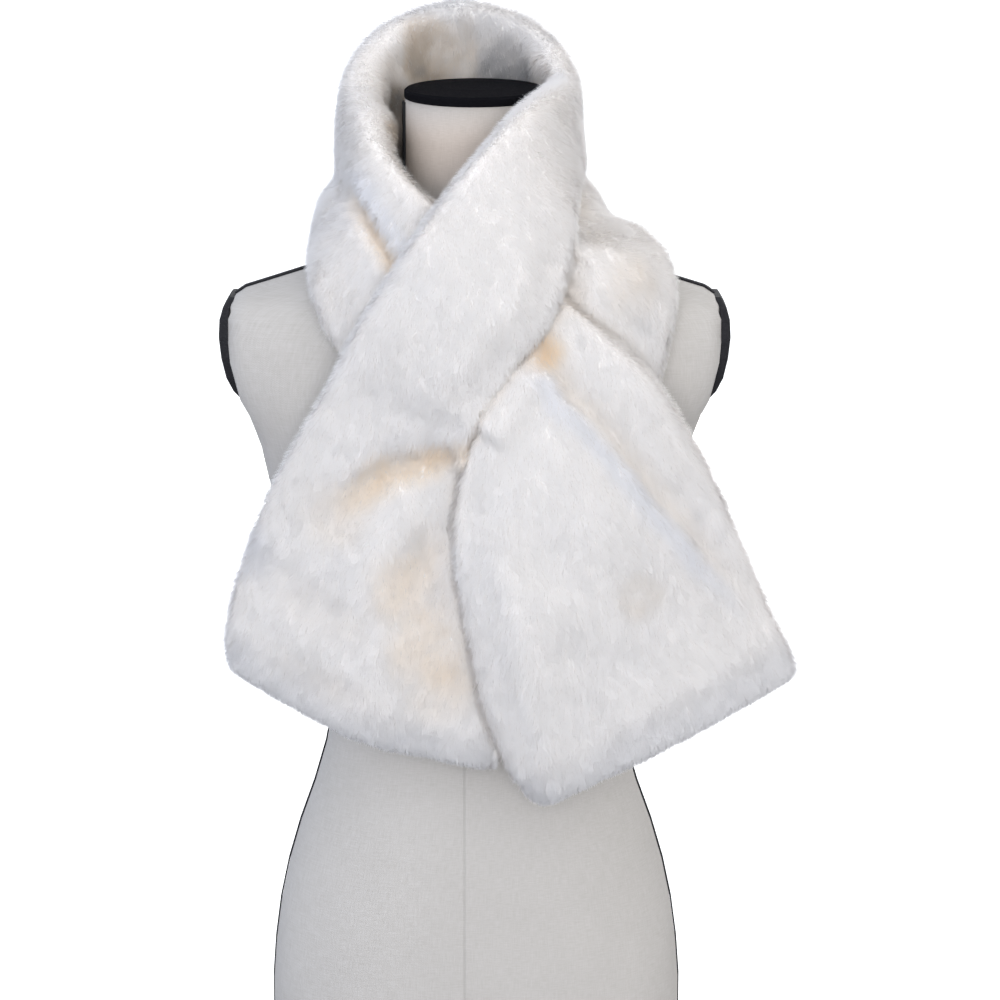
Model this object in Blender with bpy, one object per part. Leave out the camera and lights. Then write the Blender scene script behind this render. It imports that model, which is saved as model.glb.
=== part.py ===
"""Fur pull-through wrap worn on a limbless dress form. Metres, +Z up, the front faces -Y.

The tables are in millimetres. A row's "forward" value is the distance in front of the form's
axis, so y = -forward. Every stretch of the wrap is one thick band: a mid surface through three
lines (top, fold and hem), with a rounded section that takes in the pile on both faces.
"""
import bpy
import bmesh
import math
import numpy as np
from mathutils import Vector
from mathutils.bvhtree import BVHTree

MM = 0.001

# ---------------------------------------------------------------- sizes in millimetres
SEAM_GAP = 0.3            # between neighbouring solids
CUT_GAP = 0.5             # where one stretch of the wrap ends against the next
FORM_GAP = 2.0            # between a band's faces and the form
LAYER_GAP = 3.0           # between a band's faces and the bands under it
BASE_HEIGHT = 14.0        # board under the form
BASE_INSET = 3.0          # board edge inside the torso's edge
BASE_BEVEL = 2.0
NECK_TOP = 759.0          # top of the linen neck
CAP_HEIGHT = 8.0
CAP_OVERHANG = 1.2
CAP_CROWN = 2.0
CAP_LIP = 0.8
CAP_SHOULDER = 2.0
CAP_EDGE = 0.4
CAP_EDGE_IN = 0.4         # how far the crown's edge lies inside the linen's edge
CAP_CROWN_SHARE = 0.5
NECK_TILT = 0.06          # the neck is cut lower at the front
NECK_TILT_FROM = 690.0
TORSO_SIDES = 44
BUST_X = 76.0
BUST_Z = 466.0
BUST_HEIGHT = 13.0
BUST_SPREAD_X = 40.0
BUST_SPREAD_Z = 46.0
BUST_BLEND = 60.0         # depth over which the bust fades in from the sides
ARM_CUT_BELOW = 15.0      # the flat arm cut runs on this far under its first row
ARM_CUT_SLOPE = 0.35      # and narrows this fast there
TAPE_WIDTH = 8.0
SHOULDER_TAPE_THICK = 2.2
SHOULDER_TAPE_FORWARD = 3.0
SIDE_TAPE_THICK = 1.2
TAPE_STANDOFF = 0.45      # under a tape, off the linen
TAPE_EDGE_SHARE = 0.75    # a tape is thinner at its edges
PROFILE_STEP = 1.0
BISECTIONS = 30
PLATE_ROUND = 2.5
PLATE_ROUND_SHARE = 0.6   # of a plate's thickness, where it is thinner than its rounding
PLATE_CORNER_NEAR = 0.3
PLATE_CORNER_FAR = 1.2
PLATE_CROWN = 0.4
COLLAR_CENTRE_X = -11.0
COLLAR_CENTRE_Y = 4.0
COLLAR_STAND_BULGE = 3.0
COLLAR_FLARE_BULGE = 6.0

# ---------------------------------------------------------------- tables
# Dress form: height, half width, front depth, back depth, squareness
TORSO_ROWS = (
    (14, 158, 104, 106, 2.2),
    (50, 160, 108, 116, 2.2),
    (100, 157, 108, 119, 2.2),
    (145, 150, 104, 112, 2.2),
    (190, 138, 95, 99, 2.2),
    (240, 121, 87, 84, 2.2),
    (292, 110, 82, 74, 2.2),
    (340, 117, 88, 76, 2.2),
    (385, 131, 97, 82, 2.2),
    (430, 147, 104, 89, 2.3),
    (470, 158, 106, 94, 2.3),
    (500, 165, 105, 98, 2.4),
    (520, 176, 102, 100, 2.5),
    (540, 190, 98, 100, 2.5),
    (560, 202, 93, 98, 2.5),
    (585, 208, 86, 93, 2.5),
    (600, 205, 80, 88, 2.5),
    (608, 197, 75, 83, 2.5),
    (614, 180, 70, 78, 2.4),
    (620, 161, 66, 72, 2.3),
    (626, 142, 63, 68, 2.2),
    (633, 120, 60, 65, 2.1),
    (642, 94, 57, 61, 2.0),
    (654, 70, 54, 58, 2.0),
    (672, 56, 51, 55, 2.0),
    (700, 52, 50, 53, 2.0),
    (759, 52, 50, 52, 2.0),
)
# Flat cut at the arms: height, widest x
ARM_CUT_ROWS = (
    (520, 170),
    (540, 177.5),
    (560, 182),
    (585, 184.5),
    (600, 184.5),
    (608, 183),
    (614, 178),
)
TORSO_HEIGHTS = (
    14, 38, 66, 98, 130, 162, 194, 226, 258, 290, 322, 354, 386, 416, 444, 468, 490, 508, 522,
    536, 550, 566, 584, 597, 605, 611, 616, 621, 627, 634, 643, 655, 672, 698, 728, 759,
)
SHOULDER_TAPE_HEIGHTS = (611, 616, 621, 627, 634, 643, 655, 672, 698, 728, 757)
SIDE_TAPE_HEIGHTS = (
    15, 38, 66, 98, 130, 162, 194, 226, 258, 290, 322, 354, 386, 416, 444, 468, 490, 508, 522, 527,
)
# Arm plate: height, outer x, half depth
PLATE_ROWS = (
    (529, 175.5, 8),
    (533, 179, 20),
    (540, 183, 31),
    (552, 187.5, 41),
    (568, 190.5, 47),
    (584, 192, 49),
    (597, 191.5, 46),
    (605, 189.5, 38),
    (611, 186, 22),
)
# Collar: angle from the right-hand side, then radius and height of rim, fold and hem, half thickness
COLLAR_ROWS = (
    (-2, 74, 778, 79.5, 700, 104, 646, 12.5),
    (22, 77, 795, 82, 700, 110, 638, 13.5),
    (46, 80, 811, 84, 700, 116, 618, 15),
    (70, 79, 821, 84, 699, 113, 601, 16),
    (92, 75, 824, 84, 698, 110, 591, 16),
    (114, 76, 821, 84, 698, 112, 595, 16),
    (138, 78, 810, 84, 698, 114, 612, 16),
    (160, 76, 792, 82, 697, 105, 634, 16),
    (181, 72, 772, 80, 697, 95, 647, 16),
)
# Bands: (x, forward, height) of the top, fold and hem lines, half thickness, upper and lower bulge
LONG_ROWS = (
    ((-73, 32, 756), (-86, 42, 690), (-114, 34, 628), 15, 2, 5),
    ((-62, 64, 731), (-80, 78, 674), (-112, 66, 602), 14, 2, 7),
    ((-42, 88, 707), (-62, 103, 655), (-95, 92, 580), 13, 1, 6),
    ((-14, 104, 684), (-38, 118, 630), (-64, 112, 568), 11, 0, 2),
    ((24, 112, 656), (0, 124, 606), (-24, 120, 556), 10, 0, 0),
    ((60, 114, 631), (43, 133, 588), (22, 132, 548), 10, 0, 0),
    ((92, 112, 606), (52, 142, 545), (-14, 146, 486), 12, 2, 0),
    ((124, 108, 577), (64, 146, 511), (-18, 156, 446), 13, 3, 0),
    ((153, 105, 535), (78, 148, 473), (-14, 158, 410), 14, 3, 0),
    ((178, 102, 487), (93, 147, 430), (-7, 157, 372), 14, 3, 0),
    ((200, 98, 437), (107, 144, 386), (0, 154, 335), 14, 3, 0),
    ((220, 95, 391), (121, 140, 342), (11, 149, 296), 14, 3, 0),
    ((247, 93, 337), (141, 137, 289), (42, 145, 242), 14, 3, 0),
)
CROSS_ROWS = (
    ((51, 46, 773), (65, 47, 736), (72, 46, 699), 12.5, 1, 1),
    ((29, 78, 760), (51, 86, 719), (69, 84, 681), 14.5, 2, 2),
    ((8, 102, 738), (41, 114, 694), (69, 114, 657), 15, 2, 2),
    ((-17, 118, 709), (26, 132, 666), (67, 130, 631), 15, 2, 2),
    ((-42, 128, 675), (7, 144, 638), (55, 142, 604), 14, 2, 2),
    ((-67, 132, 637), (-18, 148, 603), (31, 150, 573), 13, 2, 2),
    ((-91, 129, 597), (-40, 144, 569), (11, 151, 544), 12, 2, 1),
)
LOOP_ROWS = (
    ((76, 38, 683), (104, 40, 664), (133, 34, 648), 12, 1, 1),
    ((76, 70, 664), (112, 72, 648), (148, 60, 625), 13.5, 1, 1),
    ((74, 92, 638), (111, 88, 620), (146, 78, 594), 13, 0, 1),
    ((66, 100, 610), (104, 98, 588), (138, 88, 562), 12, 0, 1),
    ((52, 108, 580), (93, 106, 556), (132, 98, 532), 10, 0, 0),
    ((28, 114, 550), (74, 114, 524), (118, 106, 500), 10, 0, 0),
)
LEFT_TAIL_ROWS = (
    ((-112, 124, 556), (-2, 131, 513), (92, 124, 462), 12, 7, 0),
    ((-138, 113, 510), (-28, 136, 462), (73, 130, 415), 13, 5, 0),
    ((-159, 103, 466), (-48, 136, 418), (56, 131, 370), 14, 3, 0),
    ((-176, 97, 418), (-64, 133, 371), (40, 129, 328), 14, 3, 0),
    ((-187, 93, 373), (-76, 129, 330), (27, 126, 292), 14, 3, 0),
    ((-187, 91, 340), (-86, 126, 292), (14, 124, 268), 14, 3, 0),
)
# Folds pressed into the front: x and height of start, middle and end, half width, depth
LEFT_TAIL_FOLDS = (
    ((10, 518), (-50, 504), (-100, 458), 14, 11),
    ((-22, 478), (-40, 432), (-34, 370), 17, 8),
)
RIGHT_TAIL_FOLDS = (
    ((54, 574), (116, 498), (206, 384), 12, 7),
)
LOOP_FOLDS = (
    ((88, 648), (102, 628), (108, 596), 16, 6),
)
LONG_FOLDS = (
    ((-98, 694), (-76, 680), (-48, 648), 7, 5),
)

# ---------------------------------------------------------------- section layout
EDGE_STEPS = (0.0, 0.12, 0.45, 1.0)      # distance from a band's edge, in half thicknesses
INNER_STEPS = 9                          # points between the two rounded edges
CROSS_SAMPLES = 40                       # points at which the way across a band is measured
LENGTH_STEP = 0.05                       # share of a row over which its length is measured
STATIONS_PER_ROW = 2
CUT_CLEARANCE = 0.2                      # no station lies nearer a cut, in rows
END_STEPS = (1.0, 0.45, 0.12, 0.0)       # the rounded hem of a tail, in half thicknesses
END_ROOM = 1.6                           # no other station lies nearer the hem, in half thicknesses
END_LEAST_SHARE = 0.1                    # thickness left at the hem's very edge
BALL_RINGS = ((0.0, 1), (0.55, 6), (0.95, 10))
LEAST_BALL = 2.0
SMOOTH_PASSES = 10
FORM_PASSES = 3
FAR = 600.0
LIFT_FADE = 0.8           # rows over which a lift starts and stops
CORNER_ROUND = 0.7
CROSSING_ROW = 3.6        # rows past the collar at which the pulled-through end is divided
FOLD_SAMPLES = 25
FOLD_END_SHARE = 0.35     # how deep a fold still is at its two ends
MEETING_SECTION = (15, 1, 4)      # half thickness and bulges where the two strips meet the collar
TAIL_LEAD_SECTION = (12, 1, 0)    # and where they run into the left tail

MATERIALS = {
    "linen": ((0.78, 0.72, 0.64), 0.85),
    "black_trim": ((0.02, 0.02, 0.022), 0.6),
    "black_cap": ((0.025, 0.025, 0.028), 0.5),
    "base_board": ((0.05, 0.045, 0.04), 0.6),
    "cream_fur": ((0.88, 0.86, 0.82), 0.9),
}


# ---------------------------------------------------------------- helpers
def clear_scene():
    for item in list(bpy.data.objects):
        bpy.data.objects.remove(item, do_unlink=True)


def make_material(name, object_name):
    colour, roughness = MATERIALS[name]
    material = bpy.data.materials.new(name + "_" + object_name)
    material.use_nodes = True
    shader = material.node_tree.nodes["Principled BSDF"]
    shader.inputs["Base Color"].default_value = (colour[0], colour[1], colour[2], 1.0)
    shader.inputs["Roughness"].default_value = roughness
    return material


def make_object(name, points, faces, material_name):
    """One closed solid from points in millimetres."""
    mesh = bpy.data.meshes.new(name)
    build = bmesh.new()
    verts = [build.verts.new(Vector(point) * MM) for point in points]
    for face in faces:
        build.faces.new([verts[index] for index in face])
    bmesh.ops.triangulate(build, faces=build.faces[:])
    if build.calc_volume(signed=True) < 0:
        bmesh.ops.reverse_faces(build, faces=build.faces[:])
    build.to_mesh(mesh)
    build.free()
    for polygon in mesh.polygons:
        polygon.use_smooth = True
    item = bpy.data.objects.new(name, mesh)
    bpy.context.scene.collection.objects.link(item)
    item.data.materials.append(make_material(material_name, name))
    return item


def smooth_column(rows, column, value):
    """A column of a table at any height, by a curve that never overshoots its rows."""
    heights = [row[0] for row in rows]
    values = [row[column] for row in rows]
    count = len(rows)
    slopes = [(values[k + 1] - values[k]) / (heights[k + 1] - heights[k]) for k in range(count - 1)]
    tangents = [slopes[0]]
    for k in range(1, count - 1):
        before = slopes[k - 1]
        after = slopes[k]
        if before * after <= 0:
            tangents.append(0.0)
        else:
            tangents.append(2.0 * before * after / (before + after))
    tangents.append(slopes[-1])
    value = min(max(value, heights[0]), heights[-1])
    k = 0
    while k < count - 2 and value > heights[k + 1]:
        k += 1
    span = heights[k + 1] - heights[k]
    t = (value - heights[k]) / span
    start = (1 + 2 * t) * (1 - t) ** 2 * values[k] + t * (1 - t) ** 2 * span * tangents[k]
    end = t * t * (3 - 2 * t) * values[k + 1] + t * t * (t - 1) * span * tangents[k + 1]
    return start + end


def ease(t):
    t = min(max(t, 0.0), 1.0)
    return t * t * (3 - 2 * t)


# ---------------------------------------------------------------- dress form
def signed_power(value, power):
    return math.copysign(abs(value) ** power, value)


def torso_point(angle, height, grow=0.0):
    """A point of the torso's surface; grow moves it out over the section."""
    half_width = smooth_column(TORSO_ROWS, 1, height) + grow
    front = smooth_column(TORSO_ROWS, 2, height) + grow
    back = smooth_column(TORSO_ROWS, 3, height) + grow
    power = 2.0 / smooth_column(TORSO_ROWS, 4, height)
    x = half_width * signed_power(math.cos(angle), power)
    depth = back if math.sin(angle) > 0 else front
    y = depth * signed_power(math.sin(angle), power)
    if ARM_CUT_ROWS[0][0] - ARM_CUT_BELOW < height <= ARM_CUT_ROWS[-1][0]:
        widest = arm_cut(height)
        x = min(max(x, -widest), widest)
    if y < 0:
        for side in (-1, 1):
            across = (x - side * BUST_X) / BUST_SPREAD_X
            up = (height - BUST_Z) / BUST_SPREAD_Z
            y -= BUST_HEIGHT * math.exp(-across * across - up * up) * ease(-y / BUST_BLEND)
    z = height + NECK_TILT * y * ease((height - NECK_TILT_FROM) / (NECK_TOP - NECK_TILT_FROM))
    return (x, y, z)


def arm_cut(height):
    """How wide the torso may be where the arms are cut off."""
    first, widest = ARM_CUT_ROWS[0]
    if height < first:
        return widest - (first - height) * ARM_CUT_SLOPE
    return smooth_column(ARM_CUT_ROWS, 1, height)


def loft(rings, cap_start=True, cap_end=True):
    """Points and faces of a tube through rings of equal length, closed by flat ends."""
    count = len(rings[0])
    points = [point for ring in rings for point in ring]
    faces = []
    for r in range(len(rings) - 1):
        for k in range(count):
            near = r * count
            far = near + count
            nxt = (k + 1) % count
            faces.append((near + k, near + nxt, far + nxt, far + k))
    if cap_start:
        faces.append(tuple(range(count - 1, -1, -1)))
    if cap_end:
        last = (len(rings) - 1) * count
        faces.append(tuple(range(last, last + count)))
    return points, faces


def build_torso():
    rings = []
    for height in TORSO_HEIGHTS:
        ring = []
        for k in range(TORSO_SIDES):
            ring.append(torso_point(2 * math.pi * (k + 0.5) / TORSO_SIDES, height))
        rings.append(ring)
    points, faces = loft(rings)
    return make_object("form_torso", points, faces, "linen")


def build_neck_cap():
    layout = (
        (SEAM_GAP, 0.0),
        (SEAM_GAP + CAP_LIP, CAP_OVERHANG),
        (CAP_HEIGHT - CAP_SHOULDER, CAP_OVERHANG),
        (CAP_HEIGHT - CAP_EDGE, -CAP_EDGE_IN),
    )
    rings = []
    for rise, grow in layout:
        ring = []
        for k in range(TORSO_SIDES):
            x, y, z = torso_point(2 * math.pi * (k + 0.5) / TORSO_SIDES, NECK_TOP, grow)
            ring.append((x, y, z + rise))
        rings.append(ring)
    crown = []
    for x, y, z in rings[-1]:
        rise = CAP_CROWN - NECK_TILT * y * CAP_CROWN_SHARE
        crown.append((x * CAP_CROWN_SHARE, y * CAP_CROWN_SHARE, z + rise))
    rings.append(crown)
    points, faces = loft(rings)
    return make_object("form_neck_cap", points, faces, "black_cap")


def build_base():
    layout = (
        (0.0, -BASE_INSET - BASE_BEVEL),
        (BASE_BEVEL, -BASE_INSET),
        (BASE_HEIGHT - SEAM_GAP, -BASE_INSET),
    )
    rings = []
    for height, grow in layout:
        ring = []
        for k in range(TORSO_SIDES):
            x, y, z = torso_point(2 * math.pi * (k + 0.5) / TORSO_SIDES, BASE_HEIGHT, grow)
            ring.append((x, y, height))
        rings.append(ring)
    points, faces = loft(rings)
    return make_object("form_base", points, faces, "base_board")


def build_arm_plate(name, side):
    rings = []
    for height, outer, half_depth in PLATE_ROWS:
        inner = arm_cut(height) + SEAM_GAP
        corner = min(PLATE_ROUND, (outer - inner) * PLATE_ROUND_SHARE)
        near = corner * PLATE_CORNER_NEAR
        far = corner * PLATE_CORNER_FAR
        outline = (
            (inner, -half_depth),
            (outer - corner, -half_depth),
            (outer - near, -half_depth + near),
            (outer, -half_depth + far),
            (outer + PLATE_CROWN, 0.0),
            (outer, half_depth - far),
            (outer - near, half_depth - near),
            (outer - corner, half_depth),
            (inner, half_depth),
            (inner, 0.0),
        )
        rings.append([(side * x, y, height) for x, y in outline])
    points, faces = loft(rings)
    return make_object(name, points, faces, "black_trim")


def side_profile(height, forward):
    """The torso's side edge at a given distance in front of the axis."""
    low = -math.pi / 2 if forward > 0 else 0.0
    high = 0.0 if forward > 0 else math.pi / 2
    for _ in range(BISECTIONS):
        angle = 0.5 * (low + high)
        if torso_point(angle, height)[1] < -forward:
            low = angle
        else:
            high = angle
    x, y, z = torso_point(0.5 * (low + high), height)
    return np.array((x, z))


def build_tape(name, side, heights, centre_forward, thick):
    """A flat tape that follows the torso's side edge, a seam gap off the cloth."""
    rings = []
    for height in heights:
        corners = []
        for offset in (-TAPE_WIDTH / 2, 0.0, TAPE_WIDTH / 2):
            forward = centre_forward + offset
            here = side_profile(height, forward)
            ahead = side_profile(height + PROFILE_STEP, forward) if height < NECK_TOP - PROFILE_STEP else here
            behind = side_profile(height - PROFILE_STEP, forward)
            along = ahead - behind
            along = along / np.linalg.norm(along)
            out = np.array((along[1], -along[0]))
            corners.append((here, out, forward))
        ring = []
        for here, out, forward in corners:
            spot = here + out * TAPE_STANDOFF
            ring.append((side * spot[0], -forward, spot[1]))
        for here, out, forward in reversed(corners):
            share = 1.0 if forward == centre_forward else TAPE_EDGE_SHARE
            spot = here + out * (TAPE_STANDOFF + thick * share)
            ring.append((side * spot[0], -forward, spot[1]))
        rings.append(ring)
    points, faces = loft(rings)
    return make_object(name, points, faces, "black_trim")


# ---------------------------------------------------------------- bands of the wrap
def collar_row(row):
    """A collar row as a band row; the radius is measured from the collar's own centre."""
    angle, rim_r, rim_z, fold_r, fold_z, hem_r, hem_z, half = row
    turn = math.radians(angle)
    line = []
    for radius, height in ((rim_r, rim_z), (fold_r, fold_z), (hem_r, hem_z)):
        x = COLLAR_CENTRE_X + radius * math.cos(turn)
        y = COLLAR_CENTRE_Y + radius * math.sin(turn)
        line.append((x, -y, height))
    return (line[0], line[1], line[2], half, COLLAR_STAND_BULGE, COLLAR_FLARE_BULGE)


def half_row(row, upper):
    """The upper or lower half of a full row, for a strip beside the slit."""
    top, fold, hem, half, upper_bulge, lower_bulge = row
    first = np.array(top if upper else fold, float)
    last = np.array(fold if upper else hem, float)
    span = (last - first) / np.linalg.norm(last - first)
    if upper:
        last = last - span * SEAM_GAP
    else:
        first = first + span * SEAM_GAP
    return (first, 0.5 * (first + last), last, half, 0.0, 0.0)


def catmull(points, t):
    """A smooth curve through evenly numbered points."""
    count = len(points)
    k = min(int(t), count - 2)
    f = t - k
    p1 = points[k]
    p2 = points[k + 1]
    p0 = points[k - 1] if k > 0 else 2 * p1 - p2
    p3 = points[k + 2] if k + 2 < count else 2 * p2 - p1
    return 0.5 * (2 * p1 + (p2 - p0) * f + (2 * p0 - 5 * p1 + 4 * p2 - p3) * f ** 2
                  + (3 * p1 - p0 - 3 * p2 + p3) * f ** 3)


def row_points(rows, facing):
    """Five control points across for each row, with the rolls' bulge along the band's face."""
    tops = [np.array((r[0][0], -r[0][1], r[0][2]), float) for r in rows]
    folds = [np.array((r[1][0], -r[1][1], r[1][2]), float) for r in rows]
    hems = [np.array((r[2][0], -r[2][1], r[2][2]), float) for r in rows]
    controls = []
    for k in range(len(rows)):
        before = max(k - 1, 0)
        after = min(k + 1, len(rows) - 1)
        along = folds[after] - folds[before]
        upper_out = np.cross(folds[k] - tops[k], along) * facing
        lower_out = np.cross(hems[k] - folds[k], along) * facing
        upper_out = upper_out / np.linalg.norm(upper_out)
        lower_out = lower_out / np.linalg.norm(lower_out)
        upper = 0.5 * (tops[k] + folds[k]) + upper_out * rows[k][4]
        lower = 0.5 * (folds[k] + hems[k]) + lower_out * rows[k][5]
        controls.append(np.array((tops[k], upper, folds[k], lower, hems[k])))
    return controls


def surface_point(controls, u, v):
    """The mid surface at row position u and crossing position v, from 0 at the top to 4."""
    across = []
    for column in range(5):
        across.append(catmull([row[column] for row in controls], u))
    return catmull(across, v)


def edge_profile(distance, half):
    """The share of the half thickness that a rounded edge has at a distance from it."""
    t = min(max(distance / half, 0.0), 1.0)
    return math.sqrt(max(1.0 - (1.0 - t) ** 2, 0.0))


def crossing_points(controls, u, half, pull_in):
    """Points across the band at one station and how far each is from the nearer edge."""
    line = [surface_point(controls, u, 4.0 * k / CROSS_SAMPLES) for k in range(CROSS_SAMPLES + 1)]
    lengths = [0.0]
    for k in range(CROSS_SAMPLES):
        lengths.append(lengths[-1] + float(np.linalg.norm(line[k + 1] - line[k])))
    width = lengths[-1]
    near = [pull_in + step * half for step in EDGE_STEPS]
    far = [width - distance for distance in reversed(near)]
    inner = [near[-1] + (far[0] - near[-1]) * (k + 1) / (INNER_STEPS + 1) for k in range(INNER_STEPS)]
    places = near + inner + far
    points = []
    distances = []
    for place in places:
        v = 4.0 * float(np.interp(place, lengths, np.linspace(0.0, 1.0, CROSS_SAMPLES + 1)))
        points.append(surface_point(controls, u, v))
        distances.append(min(place - pull_in, width - pull_in - place))
    return points, distances


def row_length(controls, u):
    """How long one step of u is at the band's fold line, in millimetres."""
    here = surface_point(controls, u, 2.0)
    back = surface_point(controls, u - LENGTH_STEP, 2.0)
    return float(np.linalg.norm(here - back)) / LENGTH_STEP


def lay_stations(controls, halves, first, last, cuts, rounded_end):
    """The mid surface of a band as a grid of stations, with a gap at every cut."""
    places = []
    count = int(round((last - first) * STATIONS_PER_ROW))
    for k in range(count + 1):
        places.append((first + (last - first) * k / count, 1.0, 0.0))
    for cut in cuts:
        slack = 0.5 * CUT_GAP / row_length(controls, cut)
        places = [place for place in places if abs(place[0] - cut) > CUT_CLEARANCE]
        places += [(cut - slack, 1.0, 0.0), (cut + slack, 1.0, 0.0)]
    if rounded_end:
        half = halves[-1]
        per_row = row_length(controls, last)
        places = [place for place in places if (last - place[0]) * per_row > END_ROOM * half]
        for step in END_STEPS:
            share = max(edge_profile(step * half, half), END_LEAST_SHARE)
            pull_in = half * (1.0 - edge_profile(step * half, half)) * CORNER_ROUND
            places.append((last - step * half / per_row, share, pull_in))
    places.sort()
    grid = []
    halfs = []
    spots = []
    for u, share, pull_in in places:
        half = float(np.interp(u, range(len(halves)), halves))
        points, distances = crossing_points(controls, u, half, pull_in)
        grid.append(points)
        halfs.append([half * share * edge_profile(distance, half) for distance in distances])
        spots.append(u)
    return np.array(grid), np.array(halfs), spots


def spread_lift(lift):
    """Ease a lift over its neighbours without ever lowering it."""
    eased = lift.copy()
    for _ in range(SMOOTH_PASSES):
        padded = np.pad(eased, 1, mode="edge")
        mean = 0.25 * (padded[:-2, 1:-1] + padded[2:, 1:-1] + padded[1:-1, :-2] + padded[1:-1, 2:])
        eased = np.maximum(lift, mean)
    return eased


def clear_of_form(grid, halfs, form_tree):
    """Move a band's mid surface out until its inner face clears the dress form."""
    for _ in range(FORM_PASSES):
        push = np.zeros(grid.shape)
        for i in range(grid.shape[0]):
            for j in range(grid.shape[1]):
                spot, normal, _, distance = form_tree.find_nearest(Vector(grid[i, j]))
                away = grid[i, j] - np.array(spot)
                inside = -1.0 if float(np.dot(away, np.array(normal))) < 0 else 1.0
                need = halfs[i, j] + FORM_GAP - inside * distance
                push[i, j] = away / max(distance, 1e-6) * inside * max(need, 0.0)
        pushed = np.linalg.norm(push, axis=2) > 0.0
        eased = push.copy()
        for _ in range(SMOOTH_PASSES):
            padded = np.pad(eased, ((1, 1), (1, 1), (0, 0)), mode="edge")
            mean = 0.25 * (padded[:-2, 1:-1] + padded[2:, 1:-1] + padded[1:-1, :-2] + padded[1:-1, 2:])
            eased = np.where(pushed[:, :, None], push, mean)
        grid = grid + eased
    return grid


def clear_of_layers(grid, halfs, spots, trees, lift_from, lift_to):
    """Lift a band forward over the bands under it, by the space that its own thickness needs."""
    lift = np.zeros(halfs.shape)
    fades = np.zeros(grid.shape[0])
    for i in range(grid.shape[0]):
        fade = ease((spots[i] - lift_from) / LIFT_FADE) * ease((lift_to - spots[i]) / LIFT_FADE)
        if fade <= 0.0:
            continue
        for j in range(grid.shape[1]):
            x, y, z = grid[i, j]
            radius = max(halfs[i, j], LEAST_BALL)
            need = -FAR
            for share, count in BALL_RINGS:
                reach = radius * share
                rise = math.sqrt(radius * radius - reach * reach)
                for k in range(count):
                    turn = 2 * math.pi * k / count
                    start = Vector((x + reach * math.cos(turn), -FAR, z + reach * math.sin(turn)))
                    for tree in trees:
                        hit = tree.ray_cast(start, Vector((0, 1, 0)))[0]
                        if hit is not None:
                            need = max(need, -hit[1] + rise + LAYER_GAP)
            lift[i, j] = max(need + y, 0.0) * fade
        fades[i] = fade
    eased = np.maximum(spread_lift(lift) * fades[:, None], lift)
    grid = grid.copy()
    grid[:, :, 1] -= eased
    return grid


def band_normals(grid, facing):
    """The outward direction of a band's face at every point of its grid."""
    rows = grid.shape[0]
    columns = grid.shape[1]
    edge = len(EDGE_STEPS) - 1
    normals = np.zeros(grid.shape)
    for i in range(rows):
        before = max(i - 1, 0)
        after = min(i + 1, rows - 1)
        for j in range(columns):
            middle = min(max(j, edge), columns - 1 - edge)
            along = grid[after, middle] - grid[before, middle]
            across = grid[i, min(middle + 1, columns - 1)] - grid[i, max(middle - 1, 0)]
            normal = np.cross(across, along) * facing
            normals[i, j] = normal / max(np.linalg.norm(normal), 1e-9)
    return normals


def fold_depth(x, z, folds):
    """How far the folds press the front of a band in at one place."""
    total = 0.0
    for start, middle, end, half_width, depth in folds:
        line = [np.array(start, float), np.array(middle, float), np.array(end, float)]
        nearest = 1e9
        place = 0.0
        for k in range(FOLD_SAMPLES):
            t = 2.0 * k / (FOLD_SAMPLES - 1)
            distance = float(np.linalg.norm(catmull(line, t) - np.array((x, z))))
            if distance < nearest:
                nearest = distance
                place = t / 2.0
        fade = FOLD_END_SHARE + (1.0 - FOLD_END_SHARE) * math.sin(math.pi * place)
        total += depth * fade * math.exp(-(nearest / half_width) ** 2)
    return total


def band_rings(grid, halfs, normals, folds):
    rings = []
    for i in range(grid.shape[0]):
        outer = []
        inner = []
        for j in range(grid.shape[1]):
            point = grid[i, j]
            half = halfs[i, j]
            press = min(fold_depth(point[0], point[2], folds), half) if folds else 0.0
            outer.append(point + normals[i, j] * (half - press))
            inner.append(point - normals[i, j] * half)
        rings.append(outer + inner[-2:0:-1])
    return rings


def close_band(rings):
    """Faces of a band; its ends are closed by strips between the two faces of the cloth."""
    points, faces = loft(rings, False, False)
    count = len(rings[0])
    half = count // 2
    last = (len(rings) - 1) * count
    for k in range(half):
        mirror = (count - k) % count
        nxt = k + 1
        mirror_next = count - k - 1
        for base, flip in ((0, True), (last, False)):
            corners = [base + k, base + nxt, base + mirror_next, base + mirror]
            face = []
            for corner in corners:
                if corner not in face:
                    face.append(corner)
            if len(face) < 3:
                continue
            faces.append(tuple(reversed(face)) if flip else tuple(face))
    return points, faces


def tree_of(item):
    """A search tree over one solid, in millimetres."""
    points = [vertex.co / MM for vertex in item.data.vertices]
    faces = [tuple(polygon.vertices) for polygon in item.data.polygons]
    return BVHTree.FromPolygons(points, faces)


def square_cut(grid, halfs, normals, spots, cut):
    """Give the two stations beside a cut one section, a seam gap apart."""
    i = max(k for k in range(len(spots)) if spots[k] < cut)
    middle = 0.5 * (grid[i] + grid[i + 1])
    along = (grid[i + 1] - grid[i]).mean(axis=0)
    along = along / np.linalg.norm(along)
    normal = normals[i] + normals[i + 1]
    normal = normal / np.linalg.norm(normal, axis=1)[:, None]
    for k, sign in ((i, -0.5), (i + 1, 0.5)):
        grid[k] = middle + along * sign * CUT_GAP
        normals[k] = normal
        halfs[k] = halfs[i]


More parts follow.
